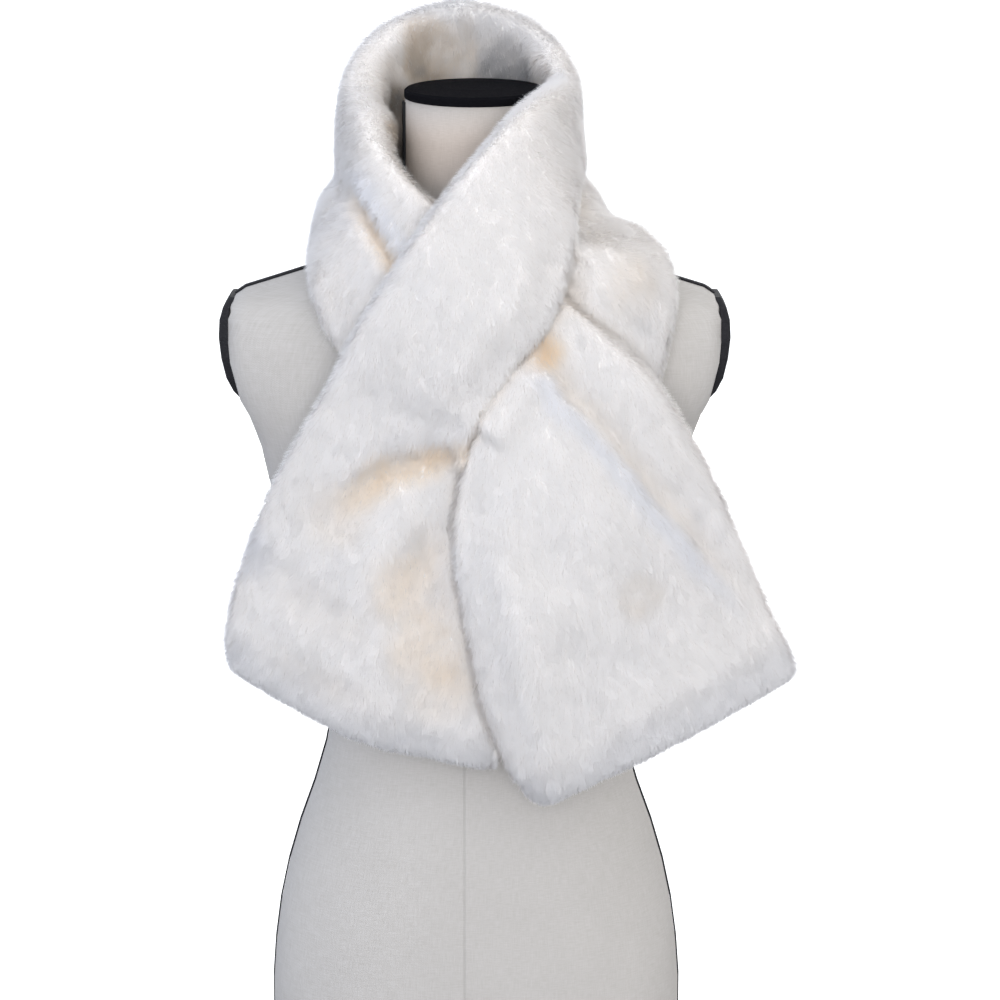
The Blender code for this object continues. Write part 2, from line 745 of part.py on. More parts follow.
def match_end(band, end, other):
    """Set one end of a strip against the first station of the band that it runs into."""
    grid, halfs, normals, spots = band
    line = other[0][0]
    along = (other[0][1] - other[0][0]).mean(axis=0)
    along = along / np.linalg.norm(along)
    for j in range(grid.shape[1]):
        best = (1e9, None, None)
        for k in range(len(line) - 1):
            span = line[k + 1] - line[k]
            t = float(np.dot(grid[end, j] - line[k], span) / np.dot(span, span))
            t = min(max(t, 0.0), 1.0)
            spot = line[k] + span * t
            distance = float(np.linalg.norm(grid[end, j] - spot))
            if distance < best[0]:
                normal = other[2][0][k] * (1 - t) + other[2][0][k + 1] * t
                best = (distance, spot, normal / np.linalg.norm(normal))
        grid[end, j] = best[1] - along * CUT_GAP
        normals[end, j] = best[2]


def make_band(name, band, folds, first, last):
    """One node: the stations between two places of a laid band."""
    grid, halfs, normals, spots = band
    keep = [i for i in range(len(spots)) if first <= spots[i] <= last]
    rows = slice(keep[0], keep[-1] + 1)
    rings = band_rings(grid[rows], halfs[rows], normals[rows], folds)
    points, faces = close_band(rings)
    return make_object(name, points, faces, "cream_fur")


# ---------------------------------------------------------------- assembly
def build_form():
    solids = [build_torso(), build_neck_cap(), build_base()]
    for side, word in ((-1, "right"), (1, "left")):
        solids.append(build_arm_plate("form_arm_plate_" + word, side))
        solids.append(build_tape("form_shoulder_tape_" + word, side, SHOULDER_TAPE_HEIGHTS,
                                 SHOULDER_TAPE_FORWARD, SHOULDER_TAPE_THICK))
        solids.append(build_tape("form_side_tape_" + word, side, SIDE_TAPE_HEIGHTS,
                                 0.0, SIDE_TAPE_THICK))
    return solids


def lay_band(rows, facing, first, last, cuts, rounded_end, form_tree, trees, lift_from, lift_to):
    """A band's mid surface, clear of the form and of the bands that lie under it."""
    controls = row_points(rows, facing)
    halves = [row[3] for row in rows]
    grid, halfs, spots = lay_stations(controls, halves, first, last, cuts, rounded_end)
    grid = clear_of_form(grid, halfs, form_tree)
    if trees:
        grid = clear_of_layers(grid, halfs, spots, trees, lift_from, lift_to)
    normals = band_normals(grid, facing)
    for cut in cuts:
        square_cut(grid, halfs, normals, spots, cut)
    return grid, halfs, normals, spots


def build_wrap(form_tree):
    collar = [collar_row(row) for row in COLLAR_ROWS]
    tail_start = LEFT_TAIL_ROWS[0]
    tail_next = LEFT_TAIL_ROWS[1]
    long_rows = [meeting_row()] + collar + list(LONG_ROWS)
    collar_end = len(collar)
    crossing = collar_end + CROSSING_ROW
    long_end = len(long_rows) - 1
    cuts = (collar_end, crossing)
    collar_band = lay_band(long_rows, 1, 1, long_end, cuts, True, form_tree, (), 0, 0)

    tail_rows = [tail_lead_row()] + list(LEFT_TAIL_ROWS)
    tail_end = len(tail_rows) - 1
    tail = lay_band(tail_rows, -1, 1, tail_end, (), True, form_tree, (), 0, 0)
    tail_solid = make_band("wrap_left_tail", tail, LEFT_TAIL_FOLDS, 0, tail_end)

    loop_rows = [half_row(collar[1], False), half_row(collar[0], False)]
    loop_rows += list(LOOP_ROWS) + [half_row(tail_start, False), half_row(tail_next, False)]
    loop_end = len(loop_rows) - 2
    loop = lay_band(loop_rows, -1, 1, loop_end, (), False, form_tree, (), 0, 0)
    match_end(loop, 0, collar_band)
    match_end(loop, -1, tail)
    loop_solid = make_band("wrap_shoulder_loop", loop, LOOP_FOLDS, 0, loop_end)

    under_tail = [tree_of(loop_solid), tree_of(tail_solid)]
    long_band = lay_band(long_rows, 1, 1, long_end, cuts, True, form_tree,
                         under_tail, collar_end + 1, long_end + LIFT_FADE)
    back_solid = make_band("wrap_collar_back", long_band, (), 0, collar_end)
    front_solid = make_band("wrap_left_front", long_band, LONG_FOLDS, collar_end, crossing)
    right_solid = make_band("wrap_right_tail", long_band, RIGHT_TAIL_FOLDS, crossing, long_end)

    cross_rows = [half_row(collar[1], True), half_row(collar[0], True)]
    cross_rows += list(CROSS_ROWS) + [half_row(tail_start, True), half_row(tail_next, True)]
    cross_end = len(cross_rows) - 2
    under_cross = [tree_of(loop_solid), tree_of(front_solid), tree_of(right_solid)]
    cross = lay_band(cross_rows, -1, 1, cross_end, (), False, form_tree, under_cross, 1, cross_end)
    match_end(cross, 0, collar_band)
    match_end(cross, -1, tail)
    cross_solid = make_band("wrap_cross_band", cross, (), 0, cross_end)
    return [back_solid, front_solid, cross_solid, loop_solid, tail_solid, right_solid]


def meeting_row():
    """A full row made of the first rows of the two strips beside the slit."""
    cross = CROSS_ROWS[0]
    loop = LOOP_ROWS[0]
    fold = 0.5 * (np.array(cross[2], float) + np.array(loop[0], float))
    return (cross[0], fold, loop[2]) + MEETING_SECTION


def tail_lead_row():
    """A full row made of the last rows of the two strips, ahead of the left tail."""
    cross = CROSS_ROWS[-1]
    loop = LOOP_ROWS[-1]
    fold = 0.5 * (np.array(cross[2], float) + np.array(loop[0], float))
    return (cross[0], fold, loop[2]) + TAIL_LEAD_SECTION


def stand_on_origin(solids):
    """Centre the whole object on X and Y and stand it on Z = 0."""
    low = np.full(3, 1e9)
    high = np.full(3, -1e9)
    for item in solids:
        for vertex in item.data.vertices:
            low = np.minimum(low, vertex.co)
            high = np.maximum(high, vertex.co)
    shift = Vector((-(low[0] + high[0]) / 2, -(low[1] + high[1]) / 2, -low[2]))
    for item in solids:
        for vertex in item.data.vertices:
            vertex.co = vertex.co + shift


clear_scene()
form_solids = build_form()
form_points = []
form_faces = []
for form_item in form_solids:
    offset = len(form_points)
    form_points += [vertex.co / MM for vertex in form_item.data.vertices]
    form_faces += [tuple(offset + k for k in polygon.vertices) for polygon in form_item.data.polygons]
wrap_solids = build_wrap(BVHTree.FromPolygons(form_points, form_faces))
stand_on_origin(form_solids + wrap_solids)
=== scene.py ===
"""A cream faux-fur pull-through wrap, worn on a small linen-covered dress form."""

import math

import bmesh
import bpy
import numpy as np
from mathutils import Matrix, Vector
from mathutils.bvhtree import BVHTree


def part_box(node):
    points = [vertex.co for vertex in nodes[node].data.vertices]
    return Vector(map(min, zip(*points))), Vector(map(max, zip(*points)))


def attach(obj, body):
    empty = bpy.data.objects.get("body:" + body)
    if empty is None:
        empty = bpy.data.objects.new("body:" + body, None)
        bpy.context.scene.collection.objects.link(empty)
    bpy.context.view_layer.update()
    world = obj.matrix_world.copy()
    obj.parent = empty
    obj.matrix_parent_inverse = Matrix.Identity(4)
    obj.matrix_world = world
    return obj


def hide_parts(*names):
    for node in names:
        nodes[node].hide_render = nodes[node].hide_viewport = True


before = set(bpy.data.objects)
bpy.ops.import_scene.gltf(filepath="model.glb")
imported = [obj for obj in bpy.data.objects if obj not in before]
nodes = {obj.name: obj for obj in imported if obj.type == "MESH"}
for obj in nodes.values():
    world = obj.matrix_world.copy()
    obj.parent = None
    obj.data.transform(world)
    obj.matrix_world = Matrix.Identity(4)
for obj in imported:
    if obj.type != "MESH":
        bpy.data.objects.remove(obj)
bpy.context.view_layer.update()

MM = 0.001

# Camera and studio
VIEW_DROP = math.radians(12.0)
VIEW_DISTANCE = 2.5
VIEW_TARGET = (0.019, -0.040, 0.458)   # from the middle of the base board
VIEW_REACH = 50.0
SENSOR = 36.0
FRAME_WIDTH = 0.760                    # width seen at the target
SKY_HORIZON = 1.42
SKY_ZENITH = 0.96
SKY_LEFT = (0.90, 0.99, 1.17, 1.0)
SKY_RIGHT = (1.09, 1.08, 1.075, 1.0)
SKY_TURN = (-1.0, 0.3)                 # over which x the sky turns from its left to its right tone
BACKDROP = 1.4                         # brightness of the white that the camera sees behind everything
LAMP_AIM = (0, 0, 0.5)
LAMPS = (                              # name, place, size, power, colour
    ("key_light", (-0.10, -2.8, 0.80), 1.6, 35, (1.0, 0.99, 0.985)),
    ("back_light", (0.3, 2.7, 0.9), 1.8, 30, (1.0, 0.99, 0.98)),
)
FLOOR_SIZE = 60.0
FLOOR_LEVEL = -0.0005
FLOOR_BOUNCE = (0.38, 0.385, 0.40, 1)
FLOOR_WHITE = (0.97, 0.97, 0.97, 1)
FLOOR_GLOW = 0.35

# Tones: pairs go from a texture's low end to its high end
WEAVE_SHARE = 0.25                     # how much of the cloth's relief is weave, beside the slubs
TORSO_RADIUS = 0.13                    # at which the weave's threads are counted round the form
SLUB_SCALES = (90, 1300)
LINEN_TONES = ((0.48, 0.466, 0.452, 1), (0.51, 0.496, 0.482, 1))
# Painted shade low on the neck: the collar's shade, warmed by light bounced off the fur
NECK_SHADE_TONE = (0.66, 0.52, 0.42, 1)
NECK_SHADE_SHARE = 0.8
NECK_SHADE_RISE = (0.680, 0.735)             # the heights over which the neck's painted shade comes in and goes again
NECK_SHADE_FALL = (0.765, 0.700)
THIN_THREAD = (0.86, 0.85, 0.83, 1)
SEAM_TONE = (0.20, 0.19, 0.18, 1)
SEAM_SHARE = 0.2
SEAM_PLACE = 0.0335                    # the centre seams, to the left of the frame's middle
SEAM_HALF = (0.0006, 0.0014)           # where the soft edge of its line starts and ends
SEAM_TOP = (0.66, 0.64)                # the heights over which the seams end at the neck
TAPE_TONES = ((0.010, 0.010, 0.012, 1), (0.030, 0.030, 0.034, 1))
CAP_TONES = ((0.002, 0.002, 0.003, 1), (0.008, 0.008, 0.010, 1))
BOARD_TONES = ((0.030, 0.027, 0.024, 1), (0.085, 0.076, 0.066, 1))
# the backing's tone, kept darker than the hair as painted shade where the gaps between hairs show it
BACKING_AND_SHADE_TONES = ((0.80, 0.785, 0.775, 1), (0.86, 0.85, 0.84, 1))
TIP_TONES = ((0.975, 0.969, 0.965, 1), (0.975, 0.971, 0.972, 1))
ROOT_TONE = (0.955, 0.932, 0.915, 1)
ROOT_REACH = 0.8                       # how far up a hair its root's tone goes
# Painted shade in the fur: warm in creases and hollows, cool and dim at shaded edges, hems and deep inside
# the collar
PAINTED_SHADE_TONES = (
    ("warm", (0.955, 0.835, 0.685, 1)),
    ("cool", (0.84, 0.88, 0.96, 1)),
    ("dim", (0.42, 0.42, 0.43, 1)),
)
THROUGH_SHARE = 0.5                    # how much of the light a hair takes goes on through it

# The wrap
WELD = 0.00005
SEAM_SWELL = 0.5 * MM       # closes the cuts between stretches before they are fused
FUSE_SIZE = 4.0 * MM
PILE_DEPTH = 3.0 * MM       # from the CAD face down to the fabric backing
STUB_LENGTH = 30 * MM       # how far the slit end runs on into the collar
SETTLE_PASSES = 2
LUMP_ROUNDNESS = 3
COVER_EDGE = math.radians(40)
COVER_LIFT = 0.6 * MM

# The two fused lengths: the stretches in each, with the name of the fur that grows there,
# the flat size and the seed of the hairs' places
LONG_STRETCHES = {
    "wrap_collar_back": "collar",
    "wrap_left_front": "left_front",
    "wrap_right_tail": "right_tail",
}
SLIT_STRETCHES = {
    "wrap_cross_band": "cross_band",
    "wrap_shoulder_loop": "shoulder_loop",
    "wrap_left_tail": "left_tail",
}
LONG_FLAT = (0.220, 0.70)
SLIT_FLAT = (0.220, 0.52)
LONG_SEED = 101
SLIT_SEED = 202

# The fur
TUFTS_PER_M2 = 1.65e6
HAIR_LENGTH = 9.0 * MM
HAIR_WIDTH = 0.85 * MM
HAIR_WIDTHS = (0.75, 1.2)   # the least and the most, as shares of the width
HAIR_ROOT = 1.2 * MM        # how deep the roots sit in the backing
LENGTH_WAVE = (0.05, 0.012, 22)   # share, size and seed, as in all waves
LENGTH_SPREAD = 0.06
LEAN = math.radians(49)
LEAN_SPREAD = 0.07
SIDE_SPREAD = 0.14
TWIST_SPREAD = 0.12
STRAY_SHARE = 0.01          # how many hairs stand up out of the pile, how much steeper and how much longer
STRAY_RISE = 0.25
STRAY_LENGTH = 1.04
TUFT_SIZE = 6.5 * MM
TUFT_SEED = 5
TUFT_DRAW = 0.13            # how far the tips of a tuft are drawn together
TUFT_TILT = 0.09            # how far a tuft's shading turns its own way
TUFT_LEAN = 0.06            # how far its hairs lean, step aside and grow its own way
TUFT_SIDE = 0.16
TUFT_LENGTH = 0.03
FACE_SHARE = 0.12           # how much of a hair's shading comes from its own face
NAP_SPREAD = 0.35           # how much the pile lies outwards, beside down
NAP_WANDER = 0.35
NAP_WAVES = ((0.7, 0.030, 11), (0.35, 0.008, 12))
SIGHT_WAYS = 14
SIGHT_DROP = 0.9            # how far the directions looked in go from straight up to level
SIGHT_RANGE = 0.5
SIGHT_LIFT = 2.5 * MM
SHADE_OPEN = 0.85           # the fur in shade is where fewer directions than this are open
SHADE_SPAN = 0.5
SHADE_PASSES = 4            # how often the shade is evened out over the skin
SHADE_WARMTH = 0.22         # how warm the fur turns where little light gets in

# Soft pulls on a stretch before the stretches are fused, in mm from the middle of the base:
# place, how far the pull reaches and which way it moves the cloth.
PULLS = {
    "wrap_right_tail": (((12, -136, 528), 42, (-17, 0, 4)),),
    "wrap_collar_back": (((-10, 75, 812), 95, (0, 0, 5)), ((-62, 16, 755), 34, (8, 0, 0))),
    "wrap_left_front": (((-66, -22, 733), 34, (9, 0, 0)),),
    "wrap_shoulder_loop": (
        ((76, -56, 668), 60, (-26, -10, 0)),
        ((92, -82, 648), 66, (-6, -22, 0)),
        ((106, -104, 616), 56, (0, -11, 0)),
    ),
}

# Lumps that close the slit where the two strips of the slit end meet again: place and radius, in mm.
BRIDGES = (
    ((62, -35, 696), 8),
    ((60, -60, 690), 8),
    ((61, -76, 681), 9),
    ((66, -102, 664), 14),
    ((70, -110, 645), 15),
    ((72, -112, 624), 14),
    ((-7, -147, 516), 15),
)

# Creases pressed into the fur, with painted shade along them, as lines in x and z, in mm from the middle of
# the base.
# kind: trough, step (the cloth left of the line lies over the cloth right of it), or
# tuck (the whole cloth is set back along the line, as far as "behind").
# Widths and depths in mm and the painted warm shade go from the line's start to its end,
# and "ends" is the share of the line over which the crease comes up at its start and dies away at its end.
# A crease is in the front of the cloth unless its face says otherwise.
# Where a crease gives them, painted cool and dim shade lies along its line.
FRONT, BACK = -1, 1
NONE = (0, 0)
CREASES = (
    dict(
        length="slit", kind="trough", width=(10, 22), depth=(5, 7), warm=(0.45, 0.65), ends=(0.0, 0.35),
        line=((14, 524), (10, 523), (-14, 514), (-40, 508), (-62, 503), (-80, 490), (-92, 477),
              (-106, 452)),
    ),
    dict(
        length="slit", kind="trough", width=(22, 34), depth=(6, 4), warm=(0.15, 0.35), ends=(0.2, 0.3),
        line=((-20, 475), (-30, 446), (-39, 424), (-42, 405), (-35, 386), (-36, 360)),
    ),
    dict(
        length="slit", kind="trough", width=(28, 22), depth=(3, 2), warm=(0.0, 0.1), ends=(0.2, 0.3),
        line=((-190, 440), (-150, 420), (-110, 395), (-70, 372)),
    ),
    dict(
        length="slit", kind="trough", width=(18, 18), depth=(2, 3), warm=(0.0, 0.1), ends=(0.2, 0.3),
        line=((-170, 370), (-120, 345), (-70, 322)),
    ),
    dict(
        length="slit", kind="trough", width=(26, 20), depth=(3, 2), ends=(0.3, 0.3),
        line=((-60, 660), (-30, 610), (-36, 560)),
    ),
    dict(
        length="long", kind="step", width=(22, 26), depth=(4, 6), warm=(0.08, 0.25), ends=(0.25, 0.0),
        line=((207, 383), (191, 407), (173, 426), (154, 452), (135, 472), (116, 498), (96, 523), (79, 543),
              (62, 557), (56, 570), (36, 592)),
    ),
    dict(
        length="long", kind="step", width=(20, 16), depth=(6, 9), warm=(0.1, 0.8), ends=(0.2, 0.0),
        line=((-98, 709), (-84, 702), (-76, 689), (-66, 674), (-53, 656), (-41, 643)),
    ),
    dict(
        length="long", kind="tuck", width=(38, 38), depth=(11, 16), ends=(0.25, 0.0), behind=-100,
        line=((12, 530), (4, 512), (-3, 493), (-10, 470), (-10, 431), (-6, 403), (2, 364), (12, 323),
              (20, 291), (28, 262), (36, 232)),
    ),
    dict(
        length="slit", kind="tuck", width=(30, 32), depth=(12, 12), ends=(0.2, 0.2), behind=-113,
        line=((70, 691), (66, 677), (62, 655), (58, 635), (54, 617), (44, 603), (32, 592), (20, 575),
              (10, 560), (-4, 541), (-14, 526)),
    ),
    dict(
        length="slit", kind="tuck", width=(34, 34), depth=(7, 7), behind=-80, cool=0.15, dim=0.10,
        line=((-192, 352), (-172, 338), (-140, 325), (-112, 306), (-72, 294), (-34, 282), (-8, 277),
              (14, 275)),
    ),
    dict(
        length="long", kind="tuck", width=(32, 32), depth=(6, 6), behind=-80, cool=0.15, dim=0.06,
        line=((26, 258), (40, 250), (62, 254), (100, 280), (138, 300), (170, 316), (200, 330), (242, 352)),
    ),
    dict(
        length="long", kind="trough", width=(28, 28), depth=(-9, -9), ends=(0.2, 0.1),
        line=((38, 584), (28, 568), (16, 550), (6, 532)),
    ),
    dict(
        length="long", kind="trough", width=(34, 30), depth=(3, 2), ends=(0.3, 0.3),
        line=((10, 470), (60, 440), (110, 420), (150, 380)),
    ),
    dict(
        length="long", kind="trough", width=(20, 20), depth=(2, 2), ends=(0.3, 0.3),
        line=((30, 380), (80, 372), (140, 350)),
    ),
    dict(
        length="long", kind="trough", width=(9, 9), depth=(3, 3), warm=(0.4, 0.4), ends=(0.2, 0.0),
        line=((-10, 822), (-6, 806), (-3, 790), (0, 765)),
    ),
    dict(
        length="long", face=BACK, kind="trough",
        width=(22, 26), depth=(6, 3), warm=(0.2, 0.1), ends=(0.2, 0.3),
        line=((-62, 745), (-52, 700), (-60, 650), (-56, 610)),
    ),
    dict(
        length="long", face=BACK, kind="trough",
        width=(18, 22), depth=(3, 5), warm=(0.1, 0.2), ends=(0.3, 0.2),
        line=((8, 750), (18, 700), (10, 640)),
    ),
    dict(
        length="long", face=BACK, kind="trough",
        width=(24, 20), depth=(4, 3), warm=(0.15, 0.1), ends=(0.2, 0.3),
        line=((72, 735), (60, 690), (74, 630)),
    ),
)
LINE_STEPS = 12             # points to a knot, when a line is bent smooth
LINE_PASSES = 8
SHORTEST_END = 0.01
FACING_GAIN = 2.5           # how fast a crease sets in where the cloth turns to the crease's face
WARM_SHADE_REACH = 1.3            # how much wider than a trough its painted warm shade is
UNEVEN_WAVES = ((0.35, 0.018, 31), (0.15, 0.006, 32))
STEP_ONSET = 8              # mm past its line, where a step is at full depth
STEP_RISE = 0.25            # how much the upper cloth rises at a step
STEP_WARM_SHADE = (5, 0.8, 8)     # the painted warm shade of a step: mm past the line, share of the width beyond that, mm before it
STEP_COOL_SHADE = (0.3, 5, 12)    # the painted cool shade at the upper cloth's edge: tone, mm before the line, mm wide

# Patches of painted shade in the fur, warm in hollows, cool and dim at shaded edges and deep inside the
# collar, in mm from the middle of the base:
# length, place, reach, painted warm shade, painted cool shade, painted dim shade
PAINTED_SHADE_PATCHES = (
    ("long", (-34, 64, 790), 34, 1.0, 0.0, 0.42),
    ("long", (26, 66, 778), 36, 0.0, 0.2, 0.62),
    ("long", (-12, 70, 834), 58, 0.0, 0.12, 0.2),
    ("long", (48, 60, 818), 40, 0.0, 0.1, 0.16),
    ("long", (-63, 46, 750), 27, 1.0, 0.0, 0.62),
    ("long", (-57, 54, 718), 27, 1.0, 0.0, 0.62),
    ("long", (-59, -36, 736), 16, 1.0, 0.0, 0.5),
    ("long", (46, -132, 590), 25, 0.8, 0.0, 0.0),
    ("long", (121, -150, 414), 24, 0.15, 0.0, 0.08),
    ("long", (-92, -62, 652), 26, 0.15, 0.0, 0.0),
    ("long", (96, -120, 540), 34, 0.08, 0.0, 0.0),
    ("slit", (103, -92, 628), 34, 0.3, 0.0, 0.0),
    ("slit", (84, -84, 654), 26, 0.1, 0.0, 0.15),
    ("slit", (-170, -112, 440), 34, 0.0, 0.15, 0.07),
    ("slit", (-45, -136, 415), 44, 0.24, 0.0, 0.0),
    ("slit", (-34, -142, 368), 42, 0.26, 0.0, 0.0),
    ("slit", (-24, -146, 342), 36, 0.2, 0.0, 0.0),
    ("slit", (-96, -120, 470), 40, 0.12, 0.0, 0.0),
    ("slit", (-45, -142, 284), 36, 0.0, 0.15, 0.1),
    ("slit", (-112, -100, 300), 30, 0.0, 0.15, 0.05),
)
PATCH_GAIN = 2              # how full a patch is before it fades at its rim
PATCH_SIDE = 0.6            # the share of a patch where the cloth faces sideways
PATCH_TURN = 2.5            # how fast a patch is lost where the cloth turns to the back


def read_points(mesh):
    found = np.empty(len(mesh.vertices) * 3, np.float32)
    mesh.vertices.foreach_get("co", found)
    return found.reshape(-1, 3).astype(float)


def read_normals(mesh):
    found = np.empty(len(mesh.vertices) * 3, np.float32)
    mesh.vertex_normals.foreach_get("vector", found)
    return found.reshape(-1, 3).astype(float)


def write_points(mesh, points):
    mesh.vertices.foreach_set("co", points.astype(np.float32).ravel())
    mesh.update()


def unit(vectors):
    return vectors / np.maximum(np.linalg.norm(vectors, axis=1, keepdims=True), 1e-9)


def show(data, name):
    piece = bpy.data.objects.new(name, data)
    bpy.context.scene.collection.objects.link(piece)
    return piece


def smooth(mesh):
    mesh.polygons.foreach_set("use_smooth", np.ones(len(mesh.polygons), bool))


def base_middle():
    low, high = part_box("form_base")
    return np.array(((low.x + high.x) / 2, (low.y + high.y) / 2, 0.0))


def on_base(place):
    """A place in mm from the middle of the base, in the frame's metres."""
    return np.array(place) * MM + base_middle()


def fade(distance, reach):
    """1 at no distance, easing to 0 at the reach."""
    return np.clip(1 - (distance / reach) ** 2, 0, 1) ** 2


def fade_round(points, place, reach):
    return fade(np.linalg.norm(points - on_base(place), axis=1), reach * MM)


def wavy(points, size, seed, waves=18):
    """A smooth random field over points, about -1 to 1, with bumps of the given size."""
    draw = np.random.default_rng(seed)
    ways = unit(draw.normal(size=(waves, 3)))
    turns = 2 * math.pi / (size * draw.uniform(1.3, 2.7, waves))
    starts = draw.uniform(0, 2 * math.pi, waves)
    total = np.zeros(len(points))
    for way, turn, start in zip(ways, turns, starts):
        total += np.sin(points @ way * turn + start)
    return total / math.sqrt(waves / 2) * 0.7


def add_waves(points, waves, start=0):
    return sum((share * wavy(points, size, seed) for share, size, seed in waves), start)


def near_line(points, line):
    """How far each point is from a bent line in x and z, and where along it, from 0 to 1.

    The distance is in mm, and below 0 on the line's left."""
    knots = np.array(line, float)
    steps = np.linspace(0, len(knots) - 1, LINE_STEPS * len(knots))
    bent = np.stack([np.interp(steps, np.arange(len(knots)), knots[:, i]) for i in (0, 1)], axis=1)
    for _ in range(LINE_PASSES):
        bent[1:-1] = (bent[:-2] + 2 * bent[1:-1] + bent[2:]) / 4
    flat = (points - base_middle())[:, (0, 2)] / MM
    gaps = flat[:, None, :] - bent[None, :, :]
    nearest = np.argmin(np.sum(gaps**2, axis=2), axis=1)
    gap = gaps[np.arange(len(flat)), nearest]
    way = np.gradient(bent, axis=0)[nearest]
    side = np.sign(way[:, 0] * -gap[:, 1] - way[:, 1] * -gap[:, 0])
    return np.linalg.norm(gap, axis=1) * np.where(side == 0, 1, side), nearest / (len(bent) - 1)


# ---------------------------------------------------------------- studio


def place_camera():
    low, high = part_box("form_base")
    middle = (low + high) / 2
    target = Vector((VIEW_TARGET[0] + middle.x, VIEW_TARGET[1] + middle.y, VIEW_TARGET[2]))
    camera_data = bpy.data.cameras.new("camera")
    camera_data.sensor_width = SENSOR
    camera_data.lens = SENSOR * VIEW_DISTANCE / FRAME_WIDTH
    camera_data.clip_end = VIEW_REACH
    camera = show(camera_data, "camera")
    camera.location = target + VIEW_DISTANCE * Vector((0, -math.cos(VIEW_DROP), math.sin(VIEW_DROP)))
    camera.rotation_euler = (math.pi / 2 - VIEW_DROP, 0, 0)
    bpy.context.scene.camera = camera


def light_world():
    """A sky cooler on the left and brighter near the horizon, with plain white behind everything."""
    world = bpy.data.worlds.new("studio")
    bpy.context.scene.world = world
    world.use_nodes = True
    tree = world.node_tree
    way = add_node(tree, "ShaderNodeSeparateXYZ")
    tree.links.new(add_node(tree, "ShaderNodeTexCoord").outputs["Generated"], way.inputs[0])
    light = mix_colour(tree, map_range(tree, way.outputs["X"], *SKY_TURN), SKY_LEFT, SKY_RIGHT)
    strength = map_range(tree, way.outputs["Z"], 0.0, 1.0, SKY_HORIZON, SKY_ZENITH)
    sky = tree.nodes["Background"]
    tree.links.new(light, sky.inputs["Color"])
    tree.links.new(strength, sky.inputs["Strength"])
    white = add_node(tree, "ShaderNodeBackground")
    white.inputs["Strength"].default_value = BACKDROP
    seen = add_node(tree, "ShaderNodeMixShader")
    tree.links.new(add_node(tree, "ShaderNodeLightPath").outputs["Is Camera Ray"], seen.inputs[0])
    tree.links.new(sky.outputs[0], seen.inputs[1])
    tree.links.new(white.outputs[0], seen.inputs[2])
    tree.links.new(seen.outputs[0], tree.nodes["World Output"].inputs["Surface"])
    bpy.context.scene.view_settings.view_transform = "Standard"


def hang_lamps():
    for name, place, size, power, colour in LAMPS:
        lamp_data = bpy.data.lights.new(name, "AREA")
        lamp_data.shape = "DISK"
        lamp_data.size = size
        lamp_data.energy = power
        lamp_data.color = colour
        lamp = show(lamp_data, name)
        lamp.location = place
        lamp.rotation_euler = (Vector(LAMP_AIM) - lamp.location).to_track_quat("-Z", "Y").to_euler()


def lay_floor():
    mesh = bpy.data.meshes.new("floor")
    half = FLOOR_SIZE / 2
    corners = [(x, y, FLOOR_LEVEL) for x, y in ((-half, -half), (half, -half), (half, half), (-half, half))]
    mesh.from_pydata(corners, [], [(0, 1, 2, 3)])
    mesh.materials.append(painted_floor())
    show(mesh, "floor")


# ---------------------------------------------------------------- finishes


def new_material(name, colour, roughness):
    material = bpy.data.materials.new(name)
    material.use_nodes = True
    shader = material.node_tree.nodes["Principled BSDF"]
    shader.inputs["Base Color"].default_value = (*colour, 1.0)
    shader.inputs["Roughness"].default_value = roughness
    material.diffuse_color = (*colour, 1.0)
    return material, shader


def add_node(tree, kind, **values):
    node = tree.nodes.new(kind)
    for name, value in values.items():
        setattr(node, name, value)
    return node


def start_group(name, inputs, outputs):
    group = bpy.data.node_groups.new(name, "ShaderNodeTree")
    for label, kind, value in inputs:
        socket = group.interface.new_socket(label, in_out="INPUT", socket_type=kind)
        socket.default_value = value
    for label, kind in outputs:
        group.interface.new_socket(label, in_out="OUTPUT", socket_type=kind)
    start = group.nodes.new("NodeGroupInput")
    end = group.nodes.new("NodeGroupOutput")
    return group, start, end


def object_place(tree):
    return add_node(tree, "ShaderNodeTexCoord").outputs["Object"]


def math_node(tree, operation, first, second=None):
    node = add_node(tree, "ShaderNodeMath", operation=operation)
    for socket, value in zip(node.inputs, (first, second)):
        if value is None:
            continue
        if isinstance(value, (int, float)):
            socket.default_value = value
        else:
            tree.links.new(value, socket)
    return node.outputs[0]


def noise(tree, place, scale, detail=2.0, rough=0.5):
    node = add_node(tree, "ShaderNodeTexNoise")
    node.inputs["Scale"].default_value = scale
    node.inputs["Detail"].default_value = detail
    node.inputs["Roughness"].default_value = rough
    tree.links.new(place, node.inputs["Vector"])
    return node.outputs["Fac"]


def stretched(tree, place, scale):
    node = add_node(tree, "ShaderNodeMapping")
    node.inputs["Scale"].default_value = scale
    tree.links.new(place, node.inputs["Vector"])
    return node.outputs["Vector"]


def mix_colour(tree, share, first, second, blend="MIX"):
    node = add_node(tree, "ShaderNodeMix", data_type="RGBA", blend_type=blend)
    for socket, value in ((node.inputs[0], share), (node.inputs[6], first), (node.inputs[7], second)):
        if isinstance(value, (tuple, float, int)):
            socket.default_value = value
        else:
            tree.links.new(value, socket)
    return node.outputs[2]


def map_range(tree, value, low, high, to_low=0.0, to_high=1.0):
    node = add_node(tree, "ShaderNodeMapRange")
    tree.links.new(value, node.inputs["Value"])
    node.inputs["From Min"].default_value = low
    node.inputs["From Max"].default_value = high
    node.inputs["To Min"].default_value = to_low
    node.inputs["To Max"].default_value = to_high
    return node.outputs[0]


def mix_pair(tree, value, low, high, tones):
    """The first of two tones where the value is low, the second where it is high."""
    return mix_colour(tree, map_range(tree, value, low, high), *tones)


def add_bump(tree, shader, height, strength, distance):
    bump = add_node(tree, "ShaderNodeBump")
    bump.inputs["Strength"].default_value = strength
    bump.inputs["Distance"].default_value = distance
    tree.links.new(height, bump.inputs["Height"])
    tree.links.new(bump.outputs["Normal"], shader.inputs["Normal"])


